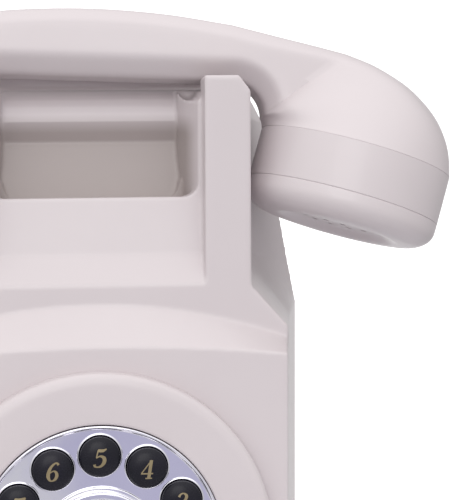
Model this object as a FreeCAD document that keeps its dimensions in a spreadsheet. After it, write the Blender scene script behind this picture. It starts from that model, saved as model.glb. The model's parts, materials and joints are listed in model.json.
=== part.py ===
"""Wall telephone with a handset lying across two cradle posts and twelve push buttons set round a fixed dial.

Frame: +X is right, +Y points into the wall, +Z is up, in millimetres.  The wall plane is Y = 0, and the origin
lies on it straight behind the centre of the dial.  Depths are counted outwards from the wall, so a depth of 80 is
Y = -80.
"""
import FreeCAD, Part
import math
import os
import Sketcher

Vec = FreeCAD.Vector
NO_TURN = FreeCAD.Rotation()
OUTWARD = FreeCAD.Rotation(Vec(1, 0, 0), 90)  # a part's own +Z then points away from the wall
DOWNWARD = FreeCAD.Rotation(Vec(1, 0, 0), 180)
ALONG_X = FreeCAD.Rotation(Vec(0, 1, 0), 90)
FAR = 400.0  # longer than any part, for cutting right through

DIMENSIONS = [
    # The case
    ("face_depth", 80.0, "lower front face, from the wall"),
    ("upper_depth", 70.0, "front of the band and the posts"),
    ("waist_depth", 38.0, "where the sides start to flare to the wall"),
    ("case_wall", 3.0, "thickness of the moulding"),
    ("case_bottom", 70.0, "front edge of the bottom, below the dial centre"),
    ("case_corner", 6.0, "bevel of the lower corners"),
    ("bottom_drop", 1.0, "how much lower the bottom is at the waist, and again at the wall"),
    ("face_half_width", 60.7, "half the width of the lower face"),
    ("waist_half_width", 67.3, "half the lower width at the waist"),
    ("wall_half_width", 75.0, "half the width at the wall"),
    ("shoulder_low", 67.5, "foot of the diagonal shoulder"),
    ("shoulder_high", 78.0, "top of the diagonal shoulder"),
    ("slope_low", 63.0, "foot of the slope above the dial"),
    ("slope_high", 75.0, "top of that slope, at its middle"),
    ("slope_foot_round", 590.0, "radius of the shallow curve along its foot"),
    ("slope_top_round", 171.0, "radius of the curve along its top"),
    ("waist_shoulder", 66.5, "foot of the shoulder, at the waist"),
    ("waist_post_foot", 88.0, "foot of the cheek, at the waist"),
    ("waist_post_flare", 1.6, "how far the foot of the cheek stands out past the post"),
    ("cheek_top", 133.5, "top of the straight cheek, at the waist"),
    ("cheek_flare", 0.8, "how far the cheek stands out past the post"),
    ("cheek_cap", 144.5, "top corner of the cheek, at the waist"),
    ("cheek_cap_inset", 5.5, "how far that corner lies inside the post's outer side"),
    ("wall_shoulder", 66.0, "top of the upright side, at the wall"),
    ("wall_bend", 80.0, "first bend of the side, at the wall"),
    ("wall_bend_inset", 2.6, "how far that bend lies inside the widest line"),
    ("wall_high", 130.0, "second bend of the side, at the wall"),
    ("wall_high_inset", 11.7, "how far that bend lies inside the widest line"),
    ("wall_top", 141.0, "top corner of the side, at the wall"),
    ("wall_top_inset", 17.5, "how far that corner lies inside the widest line"),
    ("panel_low", 81.3, "foot of the sloped panel between the posts"),
    ("panel_knee", 90.7, "where the panel starts to sweep outwards to its foot"),
    ("panel_knee_depth", 64.8, "the panel there, from the wall"),
    ("lip_height", 108.9, "lip of the finger recess"),
    ("lip_depth", 62.0, "lip of the finger recess, from the wall"),
    ("recess_half_width", 34.0, "half the width of the recess at its mouth"),
    ("recess_back_half_width", 29.0, "half the width of the recess at its back"),
    ("recess_back_depth", 42.0, "back of the recess, from the wall"),
    ("recess_floor", 105.0, "floor of the recess"),
    ("recess_corner", 8.0, "rounding of the recess's lower corners"),
    ("lip_corner", 5.0, "rounding at both ends of the lip"),
    ("recess_ledge", 124.7, "ledge across the back of the recess"),
    ("ledge_step", 1.0, "how far the ledge stands out under the band"),
    ("band_undercut", 3.2, "how far the band over the ledge leans back"),
    ("saddle_height", 142.6, "top of the case, under the handle"),
    ("roll_radius", 10.0, "rounded front of the bar behind the recess"),
    ("post_half_width", 50.0, "outer side of the posts"),
    ("post_inner", 35.4, "inner side of the posts"),
    ("post_back_depth", 56.0, "back of the posts, from the wall"),
    ("post_top", 149.5, "top of the posts"),
    ("post_round", 2.8, "rounding of the outer top corner of the posts"),
    ("back_rim_half_width", 47.0, "half the width of the raised rim behind the handle"),
    ("back_rim_depth", 25.5, "front of that rim, from the wall"),
    ("back_rim_top", 147.5, "top of that rim"),
    ("notch_radius", 3.1, "U notch beside each post"),
    ("notch_offset", 32.4, "middle of the notch, from the centre"),
    # The back plate and what fastens it
    ("plate_thickness", 3.0, "back plate"),
    ("plate_gap", 0.4, "gap between the back plate and the case"),
    ("plate_draft", 1.2, "allowance for the flare of the case's sides"),
    ("plate_corner", 7.0, "bevel of the plate's lower corners"),
    ("plate_side", 62.0, "top of the plate's upright side"),
    ("plate_bend", 80.0, "first bend of the plate's side"),
    ("plate_bend_inset", 4.4, "how far that bend lies inside the upright side"),
    ("plate_high", 128.0, "second bend of the plate's side"),
    ("plate_high_inset", 13.2, "how far that bend lies inside the upright side"),
    ("plate_top", 136.0, "top of the plate"),
    ("plate_top_inset", 20.0, "how far the top corner lies inside the upright side"),
    ("boss_radius", 3.8, "screw bosses of the case"),
    ("boss_offset", 50.0, "bosses, from the centre"),
    ("boss_low", 60.0, "lower bosses, below the dial centre"),
    ("boss_high", 56.0, "upper bosses, above the dial centre"),
    ("screw_radius", 1.45, "case screw shank"),
    ("screw_bore", 1.5, "pilot hole for a case screw"),
    ("screw_head_radius", 2.8, "case screw head"),
    ("screw_head_height", 0.8, "case screw head"),
    ("screw_length", 12.0, "case screw shank"),
    ("screw_sink", 0.1, "how far a case screw's head lies below the wall side of the plate"),
    ("screw_bore_depth", 14.0, "pilot hole for a case screw, from the wall"),
    ("head_recess", 1.0, "depth of the recess for a case screw's head"),
    ("head_clearance", 0.2, "gap round that head"),
    ("wall_screw_spacing", 80.0, "between the two lower wall screw holes"),
    ("wall_screw_low", 36.0, "those holes, below the dial centre"),
    ("wall_screw_hole", 2.25, "radius of those holes"),
    ("keyhole_height", 100.0, "hanging slot, above the dial centre"),
    ("keyhole_radius", 4.5, "round part of the hanging slot"),
    ("keyhole_slot", 2.4, "half the width of its narrow part"),
    ("keyhole_length", 12.0, "narrow part, from the middle of the round one"),
    # The dial
    ("bezel_radius", 55.5, "outside of the bezel"),
    ("bezel_bore", 39.3, "inside of the bezel"),
    ("bezel_height", 6.0, "how far the bezel stands off the face"),
    ("bezel_edge", 1.2, "bevel round its outer edge"),
    ("bezel_side", 3.6, "straight side below that bevel"),
    ("bezel_fall", 0.8, "how much lower the bevel's top is than the bezel's face"),
    ("bezel_slope", 4.0, "sloping band inside the bevel"),
    ("bezel_lip", 1.0, "bevel round the bore"),
    ("bezel_spigot", 40.8, "outside of the bezel's locating rim"),
    ("dial_hole", 41.0, "hole in the front of the case"),
    ("plate_radius", 38.9, "chrome face plate"),
    ("plate_sheet", 1.2, "thickness of the face plate"),
    ("plate_level", 84.8, "back of the face plate, from the wall"),
    ("plate_rim", 0.7, "rolled rims of the face plate"),
    ("button_count", 12.0, "buttons round the dial"),
    ("button_circle", 29.6, "radius of the ring of buttons"),
    ("button_radius", 6.35, "button"),
    ("button_hole", 6.6, "hole for a button"),
    ("button_flange", 7.2, "flange that keeps a button in"),
    ("button_flange_height", 1.2, "thickness of that flange"),
    ("button_flange_level", 76.4, "back of the flange, from the wall"),
    ("button_stand", 2.2, "straight side of a button in front of the face plate"),
    ("button_dome", 1.9, "height of its domed top"),
    ("frame_level", 78.0, "back of the keypad frame's guide disc, from the wall"),
    ("frame_flange_radius", 45.0, "flange behind the front of the case"),
    ("frame_flange_level", 74.6, "back of that flange, from the wall"),
    ("frame_flange_height", 2.2, "thickness of that flange"),
    ("frame_rim_bore", 37.2, "inside of the frame's rim"),
    ("dial_screw_inset", 2.4, "screws that hold the flange, from its edge"),
    ("dial_screw_radius", 2.0, "those screws"),
    ("dial_screw_height", 1.4, "those screws"),
    ("board_level", 69.0, "back of the keypad board, from the wall"),
    ("board_thickness", 1.6, "circuit boards"),
    ("mat_radius", 37.0, "rubber mat"),
    ("mat_thickness", 1.6, "rubber mat"),
    ("mat_dome_radius", 3.0, "spring domes of the mat"),
    ("mat_dome_height", 2.1, "spring domes of the mat"),
    ("ring_radius", 20.0, "outside of the centre ring"),
    ("ring_bore", 16.0, "inside of the centre ring"),
    ("ring_height", 3.4, "centre ring"),
    ("label_thickness", 0.4, "blank centre label"),
    ("ring_side", 0.8, "straight side of the centre ring"),
    ("ring_bevel", 0.6, "bevels at the top of the centre ring"),
    ("lens_thickness", 1.6, "clear disc over the label"),
    ("lens_gap", 0.1, "gap round the clear disc"),
    ("lens_bevel", 0.5, "bevel round the clear disc"),
    ("lens_crown", 0.4, "how much the clear disc rises to its middle"),
    # The sockets and the volume switch, in the bottom of the case
    ("outlet_depth", 20.0, "middle of the outlets, from the wall"),
    ("outlet_half_depth", 5.0, "half the depth of an outlet"),
    ("outlet_gap", 0.3, "gap round a socket in its outlet"),
    ("socket_wall", 1.5, "wall of a socket"),
    ("socket_half_width", 6.0, "half the width of a socket's outlet"),
    ("line_socket_offset", -38.0, "line cord socket, from the centre"),
    ("handset_socket_offset", -20.0, "handset cord socket, from the centre"),
    ("socket_height", 14.0, "socket housing"),
    ("slider_offset", 29.0, "volume switch, from the centre"),
    ("slider_half_width", 7.0, "half the width of its slot"),
    ("slider_housing_margin", 2.0, "how far its housing reaches past the slot at each end"),
    ("slider_housing_depth", 14.0, "housing of the volume switch"),
    ("slider_housing_height", 6.0, "housing of the volume switch"),
    ("slider_housing_rise", 5.2, "foot of that housing, above the case's bottom"),
    ("slider_grip_width", 6.0, "grip of the volume switch"),
    ("slider_grip_depth", 8.0, "grip of the volume switch"),
    ("slider_grip_height", 7.4, "grip of the volume switch"),
    ("slider_grip_drop", 2.4, "how far the grip hangs below the case's bottom"),
    # The main circuit board, on the back plate
    ("main_board_offset", 14.0, "middle of the main board, from the centre"),
    ("main_board_level", 10.0, "back of the main board, from the wall"),
    ("main_board_height", 78.0, "middle of the main board, above the dial centre"),
    ("main_board_width", 66.0, "main board"),
    ("main_board_length", 34.0, "main board"),
    ("relay_width", 18.0, "relay on the main board"),
    ("relay_length", 12.0, "relay on the main board"),
    ("relay_height", 9.0, "relay on the main board"),
    ("relay_offset", 14.0, "middle of the relay, from the board's middle"),
    ("relay_rise", 3.0, "middle of the relay, above the board's middle"),
    ("pillar_inset", 4.0, "pillars, from the edges of the main board"),
    ("pillar_radius", 3.0, "pillars under the main board"),
    ("board_screw_radius", 2.6, "screw heads on the main board"),
    ("board_screw_height", 1.6, "screw heads on the main board"),
    # The hook switch, in the left cheek
    ("plunger_offset", 42.7, "plunger, left of the centre"),
    ("plunger_depth", 42.0, "plunger, from the wall"),
    ("plunger_radius", 3.3, "plunger"),
    ("plunger_hole", 3.6, "its hole in the case"),
    ("plunger_low", 104.0, "foot of the plunger"),
    ("plunger_top", 147.2, "top of the plunger"),
    ("plunger_flange", 4.0, "flange at its foot"),
    ("plunger_flange_height", 2.0, "flange at its foot"),
    ("plunger_nose", 2.2, "rounded nose at its top"),
    ("spring_radius", 3.4, "hook spring, outside"),
    ("spring_wire", 0.8, "wall of the hook spring"),
    ("spring_low", 84.0, "foot of the hook spring"),
    ("bracket_width", 8.4, "bracket under the spring"),
    ("bracket_sheet", 2.0, "thickness of the bracket"),
    ("bracket_foot", 14.0, "foot of the bracket, on the back plate"),
    ("bracket_reach", 5.0, "how far the bracket reaches past the plunger's middle"),
    ("switch_width", 7.0, "micro switch"),
    ("switch_depth", 12.0, "micro switch"),
    ("switch_height", 14.0, "micro switch"),
    ("switch_gap", 6.0, "micro switch, from the plunger's middle"),
    ("lever_width", 4.0, "lever of the micro switch"),
    ("lever_sheet", 0.8, "lever of the micro switch"),
    ("lever_length", 9.0, "lever of the micro switch"),
    ("lever_rise", 6.0, "foot of the lever, above the bracket"),
    ("lever_bite", 0.1, "how far the lever is let into the switch"),
    # The ringer, on the back plate
    ("gong_radius", 21.0, "bell gongs"),
    ("gong_height", 11.0, "bell gongs"),
    ("gong_metal", 1.2, "bell gongs"),
    ("gong_offset", 26.0, "gongs, from the centre"),
    ("gong_low", 28.0, "gongs, below the dial centre"),
    ("gong_level", 34.0, "open side of the gongs, from the wall"),
    ("ringer_width", 70.0, "ringer chassis"),
    ("ringer_height", 54.0, "ringer chassis"),
    ("ringer_level", 12.0, "ringer chassis, from the wall"),
    ("ringer_sheet", 2.0, "thickness of the ringer chassis"),
    ("ringer_foot", 6.0, "feet of the ringer chassis"),
    ("ringer_foot_inset", 2.0, "feet, from the sides of the ringer chassis"),
    ("gong_post", 2.2, "radius of the posts that carry the gongs"),
    ("gong_hole", 2.4, "hole in a gong for its post"),
    ("gong_screw_radius", 4.0, "screw heads that hold the gongs"),
    ("gong_screw_height", 1.6, "screw heads that hold the gongs"),
    ("coil_radius", 6.5, "ringer coil"),
    ("coil_length", 30.0, "ringer coil"),
    ("coil_gap", 2.0, "gap between the coil and the ringer chassis"),
    ("coil_drop", 2.0, "coil, below the dial centre"),
    ("clapper_pivot_height", 6.0, "clapper pivot, above the dial centre"),
    ("axle_radius", 1.0, "axle of the clapper"),
    ("axle_overhang", 2.5, "how far the axle reaches past the clapper's plane"),
    ("clapper_hub", 3.0, "hub of the clapper"),
    ("clapper_hub_height", 2.4, "hub of the clapper"),
    ("clapper_eye", 1.06, "bore of the hub"),
    ("clapper_arm_start", 2.0, "where the arm leaves the hub, from the pivot"),
    ("clapper_ball", 3.0, "ball of the clapper"),
    ("clapper_arm", 1.0, "arm of the clapper"),
    ("clapper_length", 34.0, "pivot to ball"),
    ("clapper_level", 40.0, "plane that the clapper swings in, from the wall"),
    # The handset, in its own frame: U along the handle, V towards the wall, W up
    ("handset_depth", 42.5, "middle of the handle, from the wall"),
    ("handset_height", 146.6, "underside of the handle"),
    ("handset_roll", 2.0, "degrees that the right end hangs lower"),
    ("handset_lean", 9.0, "degrees that the caps lean outwards"),
    ("handle_half_depth", 13.0, "half the depth of the handle"),
    ("handle_straight", 45.0, "end of the handle's straight sides, from the middle"),
    ("flare_angle", 122.0, "degrees round an ear at which those sides meet it"),
    ("handle_thickness", 22.4, "handle, at its middle"),
    ("handle_bevel", 6.0, "bevels along the underside"),
    ("crown_radius", 250.0, "curve along the top of the handle"),
    ("crown_end", 54.0, "end of that curve, from the middle"),
    ("shoulder_end", 86.0, "end of the straight stretch after it"),
    ("end_round", 39.0, "rounded end"),
    ("handset_half_length", 120.5, "middle to end"),
    ("neck_round", 11.0, "curve from the handle into an ear"),
    ("neck_end", 57.4, "inner side of an ear"),
    ("ear_offset", 89.2, "middle of an ear's seam, from the middle"),
    ("ear_drop", 22.6, "that seam, below the handle's underside"),
    ("ear_tilt", 14.7, "degrees that an ear's seam slopes"),
    ("ear_radius", 32.4, "collars and caps"),
    ("collar_height", 16.4, "collars"),
    ("cap_height", 9.6, "caps"),
    ("cap_crest", 20.4, "radius of the caps' highest ring"),
    ("cap_dish_radius", 15.5, "flat floor of the dish inside that ring"),
    ("cap_dish", 2.6, "depth of that dish"),
    ("sound_hole", 1.1, "radius of the sound holes"),
    ("sound_ring_inner", 6.0, "inner ring of sound holes"),
    ("sound_ring_outer", 12.0, "outer ring of sound holes"),
    ("capsule_radius", 29.2, "receiver and microphone capsules"),
    ("receiver_height", 14.0, "receiver capsule"),
    ("receiver_level", 3.0, "back of the receiver capsule, from the seam"),
    ("microphone_height", 12.0, "microphone capsule"),
    ("microphone_level", 4.0, "back of the microphone capsule, from the seam"),
    ("shell_wall", 2.6, "thickness of the handset mouldings"),
    ("weight_length", 70.0, "steel weight in the handle"),
    ("weight_width", 14.0, "steel weight in the handle"),
    ("weight_height", 8.0, "steel weight in the handle"),
    ("jack_length", 8.0, "cord jack in the mouthpiece end"),
    ("jack_width", 9.0, "cord jack in the mouthpiece end"),
    ("jack_height", 8.0, "cord jack in the mouthpiece end"),
    ("jack_wall", 1.0, "side and end walls of the jack"),
    ("jack_sill", 0.8, "floor and roof of the jack"),
    ("jack_gap", 0.1, "gap round the jack"),
    ("jack_low", 22.0, "foot of the jack, below the handle's underside"),
    ("jack_inset", 2.4, "how far the jack lies inside the end"),
]


def make_sheet(document):
    """Write the driving dimensions into a spreadsheet, one row each: name, value, meaning."""
    table = document.addObject("Spreadsheet::Sheet", "dims")
    for row, (alias, number, meaning) in enumerate(DIMENSIONS, start=1):
        table.set("A%d" % row, alias)
        table.set("B%d" % row, str(number))
        table.set("C%d" % row, meaning)
        table.setAlias("B%d" % row, alias)
    document.recompute()
    return table


doc = FreeCAD.newDocument("wall_telephone")
sheet = make_sheet(doc)
subparts = {}


def size(formula):
    """The value of a formula in the sheet's aliases, each written dims.alias."""
    return float(sheet.evalExpression(formula))


def dim(alias):
    """One driving dimension."""
    return float(sheet.get(alias))


def keep(part, label):
    """Register an object as a sub-part under its own label."""
    part.Label = label
    subparts[label] = part
    return part


# ---------------------------------------------------------------- PartDesign helpers


def new_body(label, position, rotation=OUTWARD):
    """A body with its own label and place."""
    body = doc.addObject("PartDesign::Body", label + "_body")
    body.Placement = FreeCAD.Placement(position, rotation)
    return keep(body, label)


def origin_item(body, role):
    """A plane or axis of the body's own origin."""
    return [item for item in body.Origin.OriginFeatures if item.Role == role][0]


def new_sketch(body, name, level="0", role="XY_Plane"):
    """A sketch on one of the body's planes, moved along the plane's normal by a formula."""
    sketch = body.newObject("Sketcher::SketchObject", name)
    sketch.AttachmentSupport = [(origin_item(body, role), "")]
    sketch.MapMode = "FlatFace"
    sketch.setExpression("AttachmentOffset.Base.z", level)
    return sketch


def pin_point(sketch, geometry, point, axis_kind, formula):
    """Hold one point of a sketch at a formula's distance from an axis, or on the axis when that is zero."""
    value = size(formula)
    if abs(value) < 1e-9:
        axis = -2 if axis_kind == "DistanceX" else -1
        sketch.addConstraint(Sketcher.Constraint("PointOnObject", geometry, point, axis))
        return
    index = sketch.addConstraint(Sketcher.Constraint(axis_kind, -1, 1, geometry, point, value))
    sketch.setExpression("Constraints[%d]" % index, formula)


def draw_circle(sketch, x, y, radius):
    """A circle whose centre and radius follow formulas."""
    circle = Part.Circle(Vec(size(x), size(y), 0), Vec(0, 0, 1), size(radius))
    geometry = sketch.addGeometry(circle, False)
    index = sketch.addConstraint(Sketcher.Constraint("Radius", geometry, size(radius)))
    sketch.setExpression("Constraints[%d]" % index, radius)
    pin_point(sketch, geometry, 3, "DistanceX", x)
    pin_point(sketch, geometry, 3, "DistanceY", y)


def draw_outline(sketch, corners):
    """A closed outline of straight lines whose corners follow pairs of formulas."""
    points = [Vec(size(x), size(y), 0) for x, y in corners]
    count = len(points)
    lines = []
    for i in range(count):
        segment = Part.LineSegment(points[i], points[(i + 1) % count])
        lines.append(sketch.addGeometry(segment, False))
    for i, line in enumerate(lines):
        sketch.addConstraint(Sketcher.Constraint("Coincident", line, 2, lines[(i + 1) % count], 1))
    for line, (x, y) in zip(lines, corners):
        pin_point(sketch, line, 1, "DistanceX", x)
        pin_point(sketch, line, 1, "DistanceY", y)


def rectangle(left, right, low, high):
    """The corners of a rectangle, as pairs of formulas."""
    return [(left, low), (right, low), (right, high), (left, high)]


def centred_rectangle(width, height, x="0", y="0"):
    """The corners of a rectangle about a centre, as pairs of formulas."""
    left, right = "%s - %s / 2" % (x, width), "%s + %s / 2" % (x, width)
    low, high = "%s - %s / 2" % (y, height), "%s + %s / 2" % (y, height)
    return rectangle(left, right, low, high)


def add_pad(body, name, draw, height, level="0"):
    """Pad what draw puts in a sketch at a level, away from the wall."""
    sketch = new_sketch(body, name + "_sketch", level)
    draw(sketch)
    pad = body.newObject("PartDesign::Pad", name)
    pad.Profile = sketch
    pad.setExpression("Length", height)
    doc.recompute()
    return pad


def add_pocket(body, name, draw, depth, level):
    """Pocket what draw puts in a sketch at a level, towards the wall, and make sure that it cut something."""
    before = body.Shape.Volume
    sketch = new_sketch(body, name + "_sketch", level)
    draw(sketch)
    pocket = body.newObject("PartDesign::Pocket", name)
    pocket.Profile = sketch
    pocket.setExpression("Length", depth)
    doc.recompute()
    if pocket.Shape.Volume >= before:
        raise RuntimeError("the pocket %s of %s cut nothing" % (name, body.Label))
    return pocket


def add_polar(body, name, feature, count):
    """Repeat a feature round the body's own Z axis."""
    pattern = body.newObject("PartDesign::PolarPattern", name)
    pattern.Originals = [feature]
    pattern.Axis = (origin_item(body, "Z_Axis"), [""])
    pattern.Angle = 360
    pattern.setExpression("Occurrences", count)
    body.Tip = pattern
    doc.recompute()
    return pattern


def add_turned(body, name, corners):
    """Turn an outline of (radius, height) formulas round the body's own Z axis."""
    sketch = new_sketch(body, name + "_sketch", role="XZ_Plane")
    draw_outline(sketch, corners)
    turned = body.newObject("PartDesign::Revolution", name)
    turned.Profile = sketch
    turned.ReferenceAxis = (sketch, ["V_Axis"])
    turned.Angle = 360
    doc.recompute()
    return turned


# ---------------------------------------------------------------- primitive helpers


def cylinder(name, radius, height, position, rotation=OUTWARD):
    """A cylinder whose radius and height follow formulas."""
    part = doc.addObject("Part::Cylinder", name)
    part.setExpression("Radius", radius)
    part.setExpression("Height", height)
    part.Placement = FreeCAD.Placement(position, rotation)
    return part


def block(name, lengths, corner):
    """A box whose three lengths follow formulas, from its lowest corner."""
    part = doc.addObject("Part::Box", name)
    for side, formula in zip(("Length", "Width", "Height"), lengths):
        part.setExpression(side, formula)
    part.Placement = FreeCAD.Placement(corner, NO_TURN)
    return part


def cut(name, base, tool):
    """One object minus another."""
    result = doc.addObject("Part::Cut", name)
    result.Base = base
    result.Tool = tool
    return result


def fuse(name, items):
    """Several objects joined."""
    result = doc.addObject("Part::MultiFuse", name)
    result.Shapes = items
    return result


def group(name, items):
    """Identical separate pieces kept as one sub-part."""
    result = doc.addObject("Part::Compound", name)
    result.Links = items
    return result


def solid_feature(label, shape, placement=None):
    """A sub-part whose shape is worked out directly, placed after its shape is set."""
    part = doc.addObject("Part::Feature", label + "_solid")
    part.Shape = shape
    if placement is not None:
        part.Placement = placement
    return keep(part, label)


# ---------------------------------------------------------------- shape helpers for the two big mouldings


def prism_along_x(points, half_width):
    """A prism across the case from (depth, height) points."""
    corners = [Vec(-half_width, -depth, height) for depth, height in points]
    face = Part.Face(Part.makePolygon(corners + [corners[0]]))
    return face.extrude(Vec(2 * half_width, 0, 0))


def box_between(x_range, depth_range, height_range):
    """A box from two X values, two depths and two heights."""
    low = Vec(min(x_range), -max(depth_range), min(height_range))
    high = Vec(max(x_range), -min(depth_range), max(height_range))
    lengths = high - low
    return Part.makeBox(lengths.x, lengths.y, lengths.z, low)


def section_wire(depth, side):
    """A closed section of the case at one depth, from its right-hand side's (x, height) points."""
    right = [Vec(x, -depth, height) for x, height in side]
    left = [Vec(-x, -depth, height) for x, height in reversed(side)]
    corners = right + left
    return Part.makePolygon(corners + [corners[0]])


def case_body(inset):
    """The case as a solid block, with every outer side moved in by an inset."""
    foot = dim("case_bottom") - inset
    corner, drop = dim("case_corner"), dim("bottom_drop")
    face = dim("face_half_width") - inset
    waist = dim("waist_half_width") - inset
    wall = dim("wall_half_width") - inset
    post = dim("post_half_width") - inset
    round_top = dim("post_round")
    front_side = [
        (face - corner, -foot), (face, corner - foot), (face, dim("shoulder_low")),
        (post, dim("shoulder_high")), (post, dim("post_top") - round_top - inset),
        (post - round_top, dim("post_top") - inset),
    ]
    waist_side = [
        (waist - corner, -foot - drop), (waist, corner - foot - drop), (waist, dim("waist_shoulder")),
        (post + dim("waist_post_flare"), dim("waist_post_foot")),
        (post + dim("cheek_flare"), dim("cheek_top") - inset),
        (post - dim("cheek_cap_inset"), dim("cheek_cap") - inset),
    ]
    wall_side = [
        (wall - corner, -foot - 2 * drop), (wall, corner - foot - 2 * drop), (wall, dim("wall_shoulder")),
        (wall - dim("wall_bend_inset"), dim("wall_bend")),
        (wall - dim("wall_high_inset"), dim("wall_high") - inset),
        (wall - dim("wall_top_inset"), dim("wall_top") - inset),
    ]
    sections = [
        section_wire(dim("face_depth") - inset, front_side),
        section_wire(dim("waist_depth"), waist_side),
        section_wire(-inset, wall_side),
    ]
    return Part.makeLoft(sections, True, True)


def corner_fillet(x, height, radius, depths):
    """What a recess leaves standing in one of its lower corners, over a range of depths."""
    side = math.copysign(1.0, x)
    piece = box_between((x - side * radius, x + 2 * side * radius), depths, (height - radius, height + radius))
    start = Vec(x - side * radius, -max(depths), height + radius)
    return piece.cut(Part.makeCylinder(radius, abs(depths[0] - depths[1]), start, Vec(0, 1, 0)))


def recess_space():
    """The finger recess: a tub that narrows to the back, with a ledge across its back and a rolled top."""
    lip, back = dim("lip_depth"), dim("recess_back_depth")
    floor, ledge = dim("recess_floor"), dim("recess_ledge")
    top, roll = dim("saddle_height"), dim("roll_radius")
    under = back - dim("band_undercut")
    outline = [
        (lip + 3, top + 20), (lip + 3, dim("lip_height")), (lip - 2.5, dim("lip_height")),
        (lip - 6, floor), (back + 5, floor), (under + dim("ledge_step"), ledge), (under, ledge),
        (back, top - roll),
    ]
    for step in range(1, 7):
        angle = math.radians(90 * step / 6)
        outline.append((back - roll * (1 - math.cos(angle)), top - roll * (1 - math.sin(angle))))
    outline.append((back - roll, top + 20))
    tub = prism_along_x(outline, dim("recess_half_width") + 6)
    mouth, rear = dim("recess_half_width"), dim("recess_back_half_width")
    plan = [Vec(-mouth - 1, -lip - 4, 0), Vec(mouth + 1, -lip - 4, 0), Vec(mouth, -lip, 0), Vec(rear, -back, 0),
            Vec(rear, 0, 0), Vec(-rear, 0, 0), Vec(-rear, -back, 0), Vec(-mouth, -lip, 0)]
    prism = Part.Face(Part.makePolygon(plan + [plan[0]])).extrude(Vec(0, 0, FAR))
    space = tub.common(prism)
    for side in (-1, 1):
        space = space.cut(corner_fillet(side * rear, floor, dim("recess_corner"), (0, back + 5)))
        space = space.cut(corner_fillet(side * mouth, dim("lip_height"), dim("lip_corner"), (lip - 6, lip + 6)))
    return space


def above_curve(depth, crest, radius, half_width):
    """A closed outline at one depth: everything above a curve that falls away to both sides of its crest."""
    fall = radius - math.sqrt(radius ** 2 - half_width ** 2)
    top = dim("post_top") + 20
    left, right = Vec(-half_width, -depth, crest - fall), Vec(half_width, -depth, crest - fall)
    curve = Part.Arc(left, Vec(0, -depth, crest), right).toShape()
    upper = Part.makePolygon([right, Vec(half_width, -depth, top), Vec(-half_width, -depth, top), left])
    return Part.Wire([curve] + upper.Edges)


def slope_space(inset):
    """What the slope above the dial and the front over it leave open, moved inwards by an inset."""
    low, high = dim("slope_low"), dim("slope_high")
    face, upper, beyond = dim("face_depth"), dim("upper_depth"), 2.0
    share = 1 + beyond / (face - upper)
    half_width = dim("wall_half_width")
    sag_top, sag_foot = 1 / dim("slope_top_round"), 1 / dim("slope_foot_round")
    front_round = 1 / (sag_top + (sag_foot - sag_top) * share)
    drop = inset / 2
    back = above_curve(upper - inset, high - drop, 1 / sag_top, half_width)
    front = above_curve(face + beyond - inset, high + (low - high) * share - drop, front_round, half_width)
    space = Part.makeLoft([back, front], True, True)
    if inset > 0:
        ahead = box_between((-half_width, half_width), (face + beyond - inset, face + beyond), (low, FAR))
        space = space.fuse(ahead)
    return space


def case_outside():
    """The outer form of the case."""
    solid = case_body(0.0)
    upper = dim("upper_depth")
    above = dim("post_top") + 20
    slope = slope_space(0.0)
    inner = dim("post_inner")
    panel = prism_along_x([(upper + 5, dim("panel_low")), (upper, dim("panel_low")),
                           (dim("panel_knee_depth"), dim("panel_knee")), (dim("lip_depth"), dim("lip_height")),
                           (dim("lip_depth"), above), (upper + 5, above)], inner)
    saddle = box_between((-FAR, FAR), (dim("post_back_depth"), -5), (dim("saddle_height"), above))
    solid = solid.cut(slope).cut(panel).cut(saddle).cut(recess_space())
    between = box_between((-inner, inner), (upper + 5, dim("post_back_depth")), (dim("saddle_height"), above))
    solid = solid.cut(between)
    for side in (-1, 1):
        start = Vec(side * dim("notch_offset"), -dim("lip_depth") - 5, dim("saddle_height"))
        notch = Part.makeCylinder(dim("notch_radius"), dim("lip_depth") - dim("recess_back_depth") + 10, start,
                                  Vec(0, 1, 0))
        solid = solid.cut(notch)
    rim = dim("back_rim_half_width")
    heights = (dim("saddle_height") - 2, dim("back_rim_top"))
    return solid.fuse(box_between((-rim, rim), (0, dim("back_rim_depth")), heights))


def case_cavity():
    """The space inside the case, open to the wall."""
    wall = dim("case_wall")
    face, upper = dim("face_depth") - wall, dim("upper_depth") - wall
    back = dim("recess_back_depth") - dim("band_undercut") - wall
    roof = dim("saddle_height") - wall
    outline = [
        (-5, -FAR), (face, -FAR), (face, dim("slope_high")), (upper, dim("slope_high")),
        (upper, dim("panel_low") - wall), (dim("panel_knee_depth") - wall - 0.6, dim("panel_knee") - wall),
        (dim("lip_depth") - wall, dim("recess_floor") - wall - 2),
        (dim("lip_depth") - 2 * wall, dim("recess_floor") - wall),
        (back + 8, dim("recess_floor") - wall), (back, dim("recess_ledge")),
        (back, roof - dim("roll_radius") + wall), (back - dim("roll_radius"), roof), (-5, roof),
    ]
    middle = case_body(wall).common(prism_along_x(outline, FAR)).cut(slope_space(wall))
    inner, outer = dim("post_inner") + wall, dim("post_half_width") - wall
    for side in (-1, 1):
        cheek = box_between((side * inner, side * outer), (upper, -5), (dim("slope_low"), roof))
        middle = middle.fuse(cheek)
        post = box_between((side * inner, side * outer), (upper, dim("post_back_depth") + wall),
                           (roof - 1, dim("post_top") - dim("post_round")))
        middle = middle.fuse(post)
    return middle


def boss_places():
    """The four screw bosses as (x, height) pairs."""
    offset, low, high = dim("boss_offset"), dim("boss_low"), dim("boss_high")
    return [(-offset, -low), (offset, -low), (-offset, high), (offset, high)]


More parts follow.
